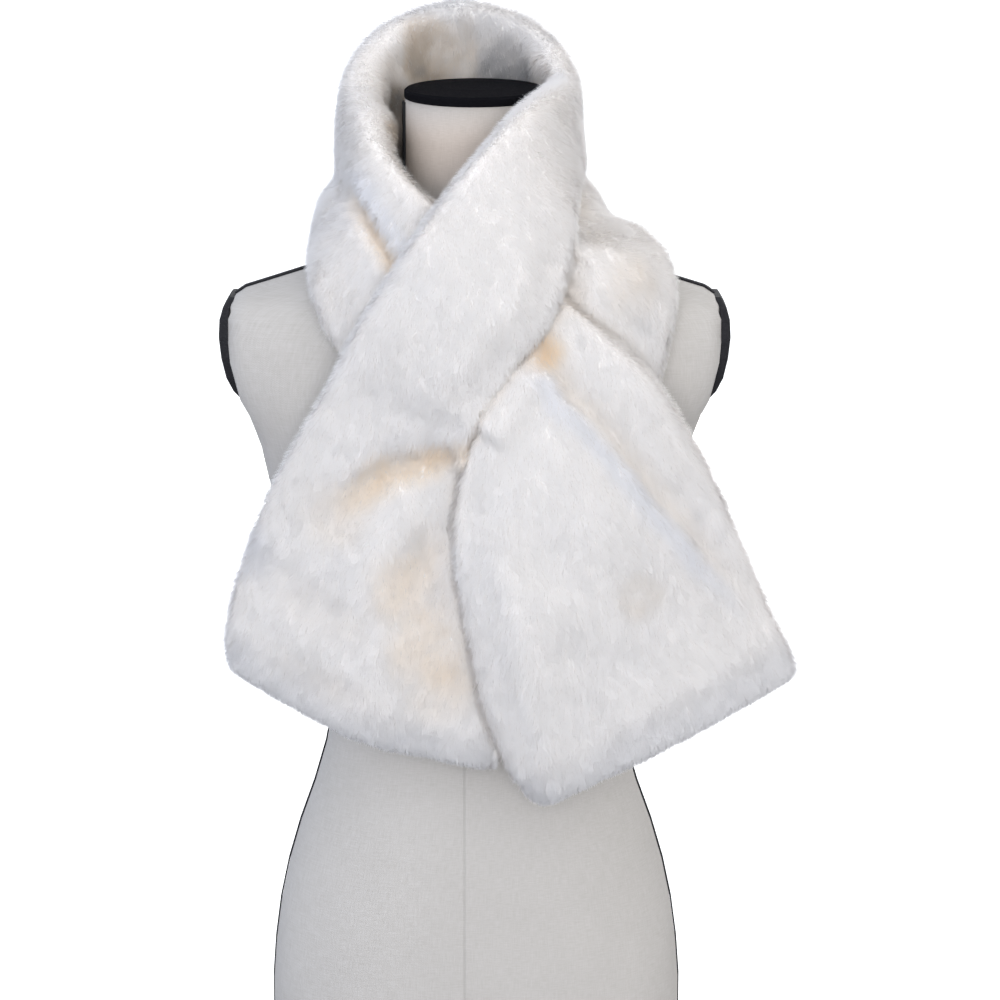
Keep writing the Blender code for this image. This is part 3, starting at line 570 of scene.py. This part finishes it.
def painted_floor():
    """White to the eye, but it throws back less light, so undersides stay in soft shade."""
    material, shader = new_material("studio_floor", (0.9, 0.9, 0.9), 0.95)
    tree = material.node_tree
    seen = add_node(tree, "ShaderNodeLightPath").outputs["Is Camera Ray"]
    tree.links.new(mix_colour(tree, seen, FLOOR_BOUNCE, FLOOR_WHITE), shader.inputs["Base Color"])
    shader.inputs["Emission Color"].default_value = (1.0, 1.0, 1.0, 1.0)
    tree.links.new(math_node(tree, "MULTIPLY", seen, FLOOR_GLOW), shader.inputs["Emission Strength"])
    shader.inputs["Specular IOR Level"].default_value = 0.1
    return material


def woven_group():
    """Plain weave: a height that goes over and under, and slubs where a thread runs thick."""
    group, start, end = start_group(
        "plain_weave",
        (("Place", "NodeSocketVector", (0, 0, 0)), ("Threads per metre", "NodeSocketFloat", 1500.0)),
        (("Height", "NodeSocketFloat"), ("Slub", "NodeSocketFloat")),
    )
    parts = add_node(group, "ShaderNodeSeparateXYZ")
    group.links.new(start.outputs["Place"], parts.inputs[0])
    around = math_node(group, "ARCTAN2", parts.outputs["Y"], parts.outputs["X"])
    around = math_node(group, "MULTIPLY", around, TORSO_RADIUS)
    waves = []
    for distance in (around, parts.outputs["Z"]):
        turns = math_node(group, "MULTIPLY", distance, start.outputs["Threads per metre"])
        waves.append(math_node(group, "SINE", math_node(group, "MULTIPLY", turns, math.pi)))
    weave = math_node(group, "MULTIPLY", waves[0], waves[1])
    flat = add_node(group, "ShaderNodeCombineXYZ")
    group.links.new(around, flat.inputs["X"])
    group.links.new(parts.outputs["Z"], flat.inputs["Y"])
    along, across = SLUB_SCALES
    weft = noise(group, stretched(group, flat.outputs[0], (along, across, 1)), 1.0, 3.0, 0.6)
    warp = noise(group, stretched(group, flat.outputs[0], (across, along, 1)), 1.0, 3.0, 0.6)
    slub = math_node(group, "ADD", weft, warp)
    slub = math_node(group, "MULTIPLY", slub, 0.5)
    height = math_node(group, "ADD", math_node(group, "MULTIPLY", weave, WEAVE_SHARE), slub)
    group.links.new(height, end.inputs["Height"])
    group.links.new(slub, end.inputs["Slub"])
    return group


def linen_finish():
    """Bare linen, clouded and slubbed, with painted warm shade low on the neck where the collar shades it,
    and a centre seam.
    """
    material, shader = new_material("linen_cover", (0.53, 0.52, 0.505), 0.92)
    tree = material.node_tree
    place = object_place(tree)
    woven = add_node(tree, "ShaderNodeGroup", node_tree=woven_group())
    tree.links.new(place, woven.inputs["Place"])
    tone = mix_pair(tree, noise(tree, place, 9.0, 3.0), 0.35, 0.65, LINEN_TONES)
    parts = add_node(tree, "ShaderNodeSeparateXYZ")
    tree.links.new(place, parts.inputs[0])
    # painted warm shade on the neck, between these heights
    above = map_range(tree, parts.outputs["Z"], *NECK_SHADE_RISE)
    below = map_range(tree, parts.outputs["Z"], *NECK_SHADE_FALL)
    neck_shade = math_node(tree, "MULTIPLY", above, below)
    tone = mix_colour(tree, math_node(tree, "MULTIPLY", neck_shade, NECK_SHADE_SHARE), tone, NECK_SHADE_TONE)
    thread = map_range(tree, woven.outputs["Slub"], 0.36, 0.64)
    tone = mix_colour(tree, thread, mix_colour(tree, 1.0, tone, THIN_THREAD, "MULTIPLY"), tone)
    from_seam = math_node(tree, "ABSOLUTE", math_node(tree, "ADD", parts.outputs["X"], SEAM_PLACE))
    seam = map_range(tree, from_seam, *SEAM_HALF, 1.0, 0.0)
    seam = math_node(tree, "MULTIPLY", seam, map_range(tree, parts.outputs["Z"], *SEAM_TOP))
    tone = mix_colour(tree, math_node(tree, "MULTIPLY", seam, SEAM_SHARE), tone, SEAM_TONE)
    tree.links.new(tone, shader.inputs["Base Color"])
    shader.inputs["Specular IOR Level"].default_value = 0.2
    raised = math_node(tree, "SUBTRACT", woven.outputs["Height"], seam)
    add_bump(tree, shader, raised, strength=0.35, distance=0.0006)
    return material


def tape_finish():
    material, shader = new_material("black_binding", (0.016, 0.016, 0.018), 0.75)
    tree = material.node_tree
    ribs = noise(tree, stretched(tree, object_place(tree), (500, 500, 1400)), 1.0, 1.0)
    tree.links.new(mix_colour(tree, ribs, *TAPE_TONES), shader.inputs["Base Color"])
    shader.inputs["Specular IOR Level"].default_value = 0.08
    add_bump(tree, shader, ribs, strength=0.5, distance=0.0005)
    return material


def cap_finish():
    material, shader = new_material("black_cap", (0.018, 0.018, 0.02), 0.55)
    tree = material.node_tree
    grain = noise(tree, object_place(tree), 700.0, 3.0)
    tree.links.new(mix_colour(tree, grain, *CAP_TONES), shader.inputs["Base Color"])
    tree.links.new(map_range(tree, grain, 0.3, 0.7, 0.7, 0.95), shader.inputs["Roughness"])
    shader.inputs["Specular IOR Level"].default_value = 0.02
    add_bump(tree, shader, grain, strength=0.25, distance=0.0003)
    return material


def board_finish():
    material, shader = new_material("base_board", (0.05, 0.045, 0.04), 0.6)
    tree = material.node_tree
    grain = noise(tree, stretched(tree, object_place(tree), (14, 160, 160)), 1.0, 4.0, 0.6)
    tree.links.new(mix_colour(tree, grain, *BOARD_TONES), shader.inputs["Base Color"])
    tree.links.new(map_range(tree, grain, 0.3, 0.7, 0.5, 0.75), shader.inputs["Roughness"])
    add_bump(tree, shader, grain, strength=0.2, distance=0.0004)
    return material


def backing_finish():
    """The knitted backing and the dense underfur on it, deep between the hairs, kept darker than the hair
    as painted shade in the gaps.
    """
    material, shader = new_material("fur_backing", (0.84, 0.79, 0.73), 0.95)
    tree = material.node_tree
    fluff = noise(tree, object_place(tree), 420.0, 3.0, 0.6)
    tree.links.new(mix_colour(tree, fluff, *BACKING_AND_SHADE_TONES), shader.inputs["Base Color"])
    shader.inputs["Specular IOR Level"].default_value = 0.1
    add_bump(tree, shader, fluff, strength=0.6, distance=0.0015)
    return material


def fur_finish():
    """Cream hair, warmer at the root and faintly uneven in tone, with painted warm, cool and dim shade in
    its creases, hollows and shaded edges.

    Part of the light goes on through a hair, so the pile is soft and bright to its depth."""
    material, shader = new_material("cream_fur", (0.91, 0.89, 0.86), 0.85)
    tree = material.node_tree
    tip = add_node(tree, "ShaderNodeAttribute", attribute_name="tip").outputs["Fac"]
    hair = mix_pair(tree, noise(tree, object_place(tree), 14.0, 2.0), 0.35, 0.65, TIP_TONES)
    tone = mix_pair(tree, tip, 0.0, ROOT_REACH, (ROOT_TONE, hair))
    # the painted warm, cool and dim shade of each hair
    for label, colour in PAINTED_SHADE_TONES:
        share = add_node(tree, "ShaderNodeAttribute", attribute_name=label).outputs["Fac"]
        tone = mix_colour(tree, share, tone, colour)
    tree.links.new(tone, shader.inputs["Base Color"])
    shader.inputs["Specular IOR Level"].default_value = 0.15
    through = add_node(tree, "ShaderNodeBsdfTranslucent")
    tree.links.new(tone, through.inputs["Color"])
    both = add_node(tree, "ShaderNodeMixShader")
    both.inputs[0].default_value = THROUGH_SHARE
    tree.links.new(shader.outputs[0], both.inputs[1])
    tree.links.new(through.outputs[0], both.inputs[2])
    tree.links.new(both.outputs[0], tree.nodes["Material Output"].inputs["Surface"])
    return material


# ---------------------------------------------------------------- the wrap's two fused lengths


def swell(work, distance):
    """Moves every point out along its normal, or in where the distance is below 0."""
    work.normal_update()
    moves = [v.normal * distance for v in work.verts]
    for v, move in zip(work.verts, moves):
        v.co += move


def collar_stub(work):
    """Keeps the short stretch of the collar that the slit end runs on into, closed at its cut."""
    low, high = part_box("wrap_collar_back")
    middle_x = (low.x + high.x) / 2
    near = low.y + STUB_LENGTH
    for place, way in (((0, near, 0), (0, 1, 0)), ((middle_x, 0, 0), (-1, 0, 0))):
        geometry = work.verts[:] + work.edges[:] + work.faces[:]
        cut = bmesh.ops.bisect_plane(work, geom=geometry, plane_co=place, plane_no=way, clear_outer=True)
        rim = [e for e in cut["geom_cut"] if isinstance(e, bmesh.types.BMEdge)]
        if rim:
            bmesh.ops.holes_fill(work, edges=rim)


def swollen_mesh(node, name, distance, stub=False):
    """A new mesh of the node's solid, welded and swollen by a distance."""
    work = bmesh.new()
    work.from_mesh(nodes[node].data)
    bmesh.ops.remove_doubles(work, verts=work.verts, dist=WELD)
    if stub:
        collar_stub(work)
    bmesh.ops.recalc_face_normals(work, faces=work.faces)
    swell(work, distance)
    mesh = bpy.data.meshes.new(name)
    work.to_mesh(mesh)
    work.free()
    return mesh


def pulled_stretch(node, stub=False):
    mesh = swollen_mesh(node, node + "_welded", SEAM_SWELL, stub)
    points = read_points(mesh)
    for place, reach, move in PULLS.get(node, ()):
        points = points + fade_round(points, place, reach)[:, None] * np.array(move) * MM
    write_points(mesh, points)
    return mesh


def settle(work, passes):
    axes = {"use_axis_x": True, "use_axis_y": True, "use_axis_z": True}
    for _ in range(passes):
        bmesh.ops.smooth_vert(work, verts=work.verts, factor=0.5, **axes)


def largest_part(work):
    """Drops everything but the largest connected shell."""
    seen = set()
    best = []
    for first in work.verts:
        if first in seen:
            continue
        part = [first]
        seen.add(first)
        for v in part:
            for edge in v.link_edges:
                other = edge.other_vert(v)
                if other not in seen:
                    seen.add(other)
                    part.append(other)
        if len(part) > len(best):
            best = part
    keep = set(best)
    bmesh.ops.delete(work, geom=[v for v in work.verts if v not in keep], context="VERTS")


def add_lump(work, place, radius):
    centre = Matrix.Translation(Vector(on_base(place)))
    bmesh.ops.create_icosphere(work, subdivisions=LUMP_ROUNDNESS, radius=radius * MM, matrix=centre)


def fused_length(name, whole, stubs=(), lumps=()):
    """One closed skin over several stretches of the wrap, sunk by the depth of the pile."""
    work = bmesh.new()
    for place, radius in lumps:
        add_lump(work, place, radius)
    for node in whole:
        work.from_mesh(pulled_stretch(node))
    for node in stubs:
        work.from_mesh(pulled_stretch(node, stub=True))
    mesh = bpy.data.meshes.new(name)
    work.to_mesh(mesh)
    work.free()
    piece = show(mesh, name)
    fuse = piece.modifiers.new("fuse", "REMESH")
    fuse.mode = "VOXEL"
    fuse.voxel_size = FUSE_SIZE
    fuse.adaptivity = 0.0
    shown = piece.evaluated_get(bpy.context.evaluated_depsgraph_get())
    fused = bpy.data.meshes.new_from_object(shown)
    piece.modifiers.clear()
    work = bmesh.new()
    work.from_mesh(fused)
    largest_part(work)
    settle(work, SETTLE_PASSES)
    swell(work, -(PILE_DEPTH + SEAM_SWELL))
    settle(work, SETTLE_PASSES // 2)
    work.to_mesh(mesh)
    work.free()
    smooth(mesh)
    mesh.update()
    return piece


def crease_shape(crease, gap, width, uneven):
    """For each point, the share of the crease's depth there and how far its painted warm shade shows."""
    if crease["kind"] == "trough":
        return fade(gap, width), fade(gap, width * WARM_SHADE_REACH) * uneven
    under = np.where(gap > 0, fade(gap, width), 0) * np.clip(gap / STEP_ONSET, 0, 1)
    shape = under - STEP_RISE * np.where(gap < 0, fade(gap, width / 2), 0)
    middle, beyond, before = STEP_WARM_SHADE
    return shape, fade(gap - middle, np.where(gap > middle, width * beyond, before))


def press_creases(skin, length):
    """Presses this length's creases into its skin, and returns the painted warm, cool and dim shade of its
    fur.
    """
    mesh = skin.data
    points, normals = read_points(mesh), read_normals(mesh)
    uneven = add_waves(points, UNEVEN_WAVES, start=1)
    tones = np.zeros((len(points), 3))
    moved = points.copy()
    for crease in (crease for crease in CREASES if crease["length"] == length):
        gap, along = near_line(points, crease["line"])
        width, depth, warm = (
            first + (last - first) * along
            for first, last in (crease["width"], crease["depth"], crease.get("warm", NONE))
        )
        first, last = crease.get("ends", NONE)
        rise = np.clip(along / max(first, SHORTEST_END), 0, 1)
        ends = rise * np.clip((1 - along) / max(last, SHORTEST_END), 0, 1)
        # painted cool and dim shade along the line
        near = fade(gap, width)[:, None] * np.array((0, crease.get("cool", 0), crease.get("dim", 0)))
        tones = np.maximum(tones, near)
        if crease["kind"] == "tuck":
            ahead = points[:, 1] < on_base((0, crease["behind"], 0))[1]
            moved[:, 1] += fade(gap, width) * ahead * ends * depth * MM
            continue
        facing = np.clip(normals[:, 1] * crease.get("face", FRONT) * FACING_GAIN, 0, 1)
        shape, warm_shade = crease_shape(crease, gap, width, uneven)
        if crease["kind"] == "step":
            # painted cool shade at the edge of the upper cloth
            tone, before, reach = STEP_COOL_SHADE
            tones[:, 1] = np.maximum(tones[:, 1], tone * fade(gap + before, reach) * facing * ends)
        moved -= normals * (shape * facing * ends * depth * MM)[:, None]
        # painted warm shade along the crease
        tones[:, 0] = np.maximum(tones[:, 0], warm_shade * facing * ends * warm)
    # painted shade from the patches, strongest where the cloth faces sideways or to the front
    side = np.clip(PATCH_SIDE - PATCH_TURN * normals[:, 1], 0, 1)
    for _, place, reach, *shares in (patch for patch in PAINTED_SHADE_PATCHES if patch[0] == length):
        share = np.clip(PATCH_GAIN * fade_round(points, place, reach), 0, 1) * uneven * side
        tones = np.maximum(tones, share[:, None] * np.array(shares))
    write_points(mesh, moved)
    return np.clip(tones, 0, 1)


def spread(mesh, values, passes):
    """Evens values out over neighbouring points."""
    ends = np.empty(len(mesh.edges) * 2, np.int32)
    mesh.edges.foreach_get("vertices", ends)
    first, last = ends[::2], ends[1::2]
    count = len(mesh.vertices)
    near = np.bincount(first, minlength=count) + np.bincount(last, minlength=count)
    for _ in range(passes):
        total = np.bincount(first, values[last], count) + np.bincount(last, values[first], count)
        values = (values + total / np.maximum(near, 1)) / 2
    return values


# ---------------------------------------------------------------- the fur


def sight_directions():
    """Even directions over a half sphere about +Z, none of them quite level."""
    found = []
    for i in range(SIGHT_WAYS):
        height = 1 - (i + 0.5) / SIGHT_WAYS * SIGHT_DROP
        angle = i * math.pi * (3 - math.sqrt(5))
        ring = math.sqrt(1 - height * height)
        found.append((ring * math.cos(angle), ring * math.sin(angle), height))
    return found


def open_share(points, normals, tree):
    """For each point, the share of directions in which nothing of the piece or the form is in the way."""
    ways = sight_directions()
    shares = np.empty(len(points))
    for i, (place, normal) in enumerate(zip(points, normals)):
        up = Vector(normal)
        side = up.orthogonal().normalized()
        ahead = up.cross(side)
        start = Vector(place) + up * SIGHT_LIFT
        clear = 0
        for a, b, c in ways:
            if tree.ray_cast(start, side * a + ahead * b + up * c, SIGHT_RANGE)[0] is None:
                clear += 1
        shares[i] = clear / len(ways)
    return shares


def solid_tree(pieces):
    points, faces = [], []
    for piece in pieces:
        first = len(points)
        points += [v.co.copy() for v in piece.data.vertices]
        faces += [tuple(first + i for i in p.vertices) for p in piece.data.polygons]
    return BVHTree.FromPolygons(points, faces)


def nap_directions(points, normals):
    """The way the pile lies: down the cloth and a little outwards, wandering in soft swirls."""
    low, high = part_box("wrap_collar_back")
    middle = np.array(((low.x + high.x) / 2, (low.y + high.y) / 2))
    fall = np.zeros_like(points)
    away = points[:, :2] - middle
    fall[:, :2] = NAP_SPREAD * away / np.maximum(np.linalg.norm(away, axis=1, keepdims=True), 1e-6)
    fall[:, 2] = -1
    lie = unit(fall - normals * np.sum(fall * normals, axis=1, keepdims=True))
    across = np.cross(normals, lie)
    turn = NAP_WANDER * add_waves(points, NAP_WAVES)
    return lie * np.cos(turn)[:, None] + across * np.sin(turn)[:, None]


def scattered(cells, seed):
    """Three numbers from 0 to 1 for each cell of a grid, always the same for the same cell."""
    turns = cells @ np.array(((127.1, 269.5, 419.2), (311.7, 183.3, 371.9), (74.7, 246.1, 154.3))) + seed
    return np.modf(np.abs(np.sin(turns) * 43758.5453))[0]


def find_tufts(points, seed):
    """The middle of the tuft that each point belongs to, and three numbers from -1 to 1 of that tuft."""
    cells = np.floor(points / TUFT_SIZE)
    nearest = np.full(len(points), 1e9)
    middles = np.zeros_like(points)
    own = np.zeros_like(points)
    for step in np.ndindex(3, 3, 3):
        draws = scattered(cells + step - 1.0, seed)
        places = (cells + step - 1.0 + draws) * TUFT_SIZE
        away = np.sum((points - places) ** 2, axis=1)
        closer = away < nearest
        nearest[closer] = away[closer]
        middles[closer] = places[closer]
        own[closer] = 2 * draws[closer] - 1
    return middles, own


def own_side(points, length):
    """Which points grow hair.

    Where the slit end runs on into the collar the two skins are one, and each has its own side
    of the join."""
    low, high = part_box("wrap_collar_back")
    join = low.y + STUB_LENGTH / 2
    if length == "backing_slit":
        return points[:, 1] < join
    right = points[:, 0] > (low.x + high.x) / 2
    collar_end = right & (points[:, 1] > low.y - STUB_LENGTH / 3) & (points[:, 2] > low.z)
    return (points[:, 1] > join) | ~collar_end


def fur_hairs(skin, open_at, tones, seed):
    """Roots, normals and tones of the hairs of one skin, and the draw that goes on with them."""
    mesh = skin.data
    mesh.calc_loop_triangles()
    corners = np.empty(len(mesh.loop_triangles) * 3, np.int32)
    mesh.loop_triangles.foreach_get("vertices", corners)
    corners = corners.reshape(-1, 3)
    points = read_points(mesh)
    normals = read_normals(mesh)
    seen = open_at[corners].max(axis=1) > 0
    corners = corners[seen]
    a, b, c = (points[corners[:, i]] for i in range(3))
    areas = np.linalg.norm(np.cross(b - a, c - a), axis=1) / 2
    draw = np.random.default_rng(seed)
    density = TUFTS_PER_M2 * 1.0
    wanted = areas * density
    counts = np.floor(wanted + draw.random(len(wanted))).astype(int)
    face = np.repeat(np.arange(len(counts)), counts)
    u, v = draw.random(len(face)), draw.random(len(face))
    over = u + v > 1
    u[over], v[over] = 1 - u[over], 1 - v[over]
    shares = np.stack((1 - u - v, u, v), axis=1)
    root = np.einsum("ij,ijk->ik", shares, points[corners[face]])
    up = unit(np.einsum("ij,ijk->ik", shares, normals[corners[face]]))
    tone = np.einsum("ij,ijk->ik", shares, tones[corners[face]])
    mine = own_side(root, mesh.name)
    return {"root": root[mine], "up": up[mine], "tone": tone[mine], "draw": draw}


def bake_cells(count):
    """Texture places for blades: each blade fills its own cell of a square grid."""
    columns = math.ceil(math.sqrt(count))
    number = np.arange(count)
    corner = np.stack((number % columns, number // columns), axis=1)
    return (corner[:, None, :] + np.array(((0.05, 0.05), (0.95, 0.05), (0.05, 0.95)))) / columns


def hair_shapes(root, up, draw):
    """The three corners of each hair and the normals that its pile is shaded with.

    A hair is one tapered blade that leans along the nap with its face turned outwards."""
    count = len(root)
    lie = nap_directions(root, up)
    tuft, own = find_tufts(root, TUFT_SEED)
    lean = LEAN + TUFT_LEAN * own[:, 0] + draw.normal(0, LEAN_SPREAD, count)
    stray = draw.random(count) < STRAY_SHARE
    lean[stray] -= STRAY_RISE
    side_step = draw.normal(0, SIDE_SPREAD, count) + TUFT_SIDE * own[:, 1]
    ahead = up * np.cos(lean)[:, None] + lie * np.sin(lean)[:, None]
    ahead = unit(ahead + np.cross(up, lie) * side_step[:, None])
    face = unit(up - ahead * np.sum(up * ahead, axis=1, keepdims=True))
    twist = draw.normal(0, TWIST_SPREAD, count)
    side = np.cross(ahead, face)
    side = side * np.cos(twist)[:, None] + face * np.sin(twist)[:, None]
    wave = add_waves(root, (LENGTH_WAVE,), start=1)
    length = HAIR_LENGTH * (wave + TUFT_LENGTH * own[:, 2] + draw.normal(0, LENGTH_SPREAD, count))
    length *= np.where(stray, STRAY_LENGTH, 1.0)
    gather = tuft - root
    gather -= up * np.sum(gather * up, axis=1, keepdims=True)
    width = HAIR_WIDTH * draw.uniform(*HAIR_WIDTHS, count) * 1.0
    base = root - up * HAIR_ROOT
    corners = np.empty((count, 3, 3))
    corners[:, 0] = base - side * width[:, None] / 2
    corners[:, 1] = base + side * width[:, None] / 2
    corners[:, 2] = base + ahead * length[:, None] + gather * TUFT_DRAW
    return corners, unit(up * (1 - FACE_SHARE) + face * FACE_SHARE + own * TUFT_TILT)


def hair_mesh(name, root, up, tone, draw):
    count = len(root)
    corners, soft = hair_shapes(root, up, draw)
    mesh = bpy.data.meshes.new(name)
    mesh.vertices.add(count * 3)
    mesh.vertices.foreach_set("co", corners.astype(np.float32).ravel())
    mesh.loops.add(count * 3)
    mesh.loops.foreach_set("vertex_index", np.arange(count * 3, dtype=np.int32))
    mesh.polygons.add(count)
    mesh.polygons.foreach_set("loop_start", np.arange(0, count * 3, 3, dtype=np.int32))
    mesh.update(calc_edges=True)
    marks = [("tip", np.tile((0.0, 0.0, 1.0), count))]
    # each hair's painted shade, one mark for each tone
    marks += [(label, np.repeat(tone[:, number], 3)) for number, (label, _) in enumerate(PAINTED_SHADE_TONES)]
    for label, values in marks:
        mesh.attributes.new(label, "FLOAT", "POINT").data.foreach_set("value", values.astype(np.float32))
    layout = mesh.uv_layers.new(name="OFBake")
    layout.data.foreach_set("uv", bake_cells(count).astype(np.float32).ravel())
    smooth(mesh)
    mesh.normals_split_custom_set_from_vertices(np.repeat(soft, 3, axis=0).astype(np.float32))
    return mesh


def nearest_stretch(points, stretches):
    """The number of the stretch whose solid each point is nearest to."""
    nearest = np.full(len(points), 1e9)
    owner = np.zeros(len(points), int)
    for number, name in enumerate(stretches):
        tree = solid_tree([nodes[name]])
        away = np.array([tree.find_nearest(Vector(p))[3] for p in points])
        closer = away < nearest
        nearest[closer] = away[closer]
        owner[closer] = number
    return owner


def dress_fur(skin, stretches, open_at, tones, seed, finish):
    """Grows the hairs of a skin and shares them out to a front and a back piece for each stretch."""
    hairs = fur_hairs(skin, open_at, tones, seed)
    owner = nearest_stretch(hairs["root"], stretches)
    pieces = []
    for number, stretch in enumerate(stretches.values()):
        mine = np.flatnonzero(owner == number)
        front = hairs["up"][mine, 1] < 0
        for part, which in (("front", mine[front]), ("back", mine[~front])):
            if len(which) == 0:
                continue
            name = f"fur_{stretch}_{part}"
            own = (hairs[key][which] for key in ("root", "up", "tone"))
            mesh = hair_mesh(name, *own, hairs["draw"])
            mesh.materials.append(finish)
            piece = show(mesh, name)
            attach(piece, "root")
            pieces.append(piece)
    return pieces


def build_wrap():
    backing = backing_finish()
    fur = fur_finish()
    long_length = fused_length("backing_long", LONG_STRETCHES)
    slit_length = fused_length("backing_slit", SLIT_STRETCHES, ("wrap_collar_back",), BRIDGES)
    # the painted shade of each skin's fur, from its creases and shade patches
    tones = {skin.name: press_creases(skin, skin.name.split("_")[1]) for skin in (long_length, slit_length)}
    tree = solid_tree([long_length, slit_length, nodes["form_torso"], nodes["form_neck_cap"]])
    for skin, stretches, rests, flat, seed in (
        (long_length, LONG_STRETCHES, ["linen_torso_cover"], LONG_FLAT, LONG_SEED),
        (slit_length, SLIT_STRETCHES, ["linen_torso_cover", "backing_long"], SLIT_FLAT, SLIT_SEED),
    ):
        skin.data.materials.clear()
        skin.data.materials.append(backing)
        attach(skin, "root")
        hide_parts(*stretches)
        open_at = open_share(read_points(skin.data), read_normals(skin.data), tree)
        closed_in = np.clip((SHADE_OPEN - spread(skin.data, open_at, SHADE_PASSES)) / SHADE_SPAN, 0, 1)
        tone = tones[skin.name]
        # painted warm shade where the fur is closed in
        tone[:, 0] = np.maximum(tone[:, 0], closed_in * SHADE_WARMTH)
        pieces = dress_fur(skin, stretches, open_at, tone, seed, fur)


# ---------------------------------------------------------------- the dress form


def stretch_cover(linen):
    """The linen cover, drawn smoothly over the whole torso."""
    mesh = swollen_mesh("form_torso", "linen_torso_cover", COVER_LIFT)
    mesh.shade_smooth()
    mesh.set_sharp_from_angle(angle=COVER_EDGE)
    mesh.materials.append(linen)
    cover = show(mesh, "linen_torso_cover")
    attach(cover, "root")
    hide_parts("form_torso")


def dress_form():
    linen = linen_finish()
    stretch_cover(linen)
    tape = tape_finish()
    finishes = {"form_torso": linen, "form_neck_cap": cap_finish(), "form_base": board_finish()}
    for name, node in nodes.items():
        if name.startswith("form_"):
            node.data.materials.clear()
            node.data.materials.append(finishes.get(name, tape))
            smooth(node.data)


place_camera()
light_world()
hang_lamps()
lay_floor()
dress_form()
build_wrap()
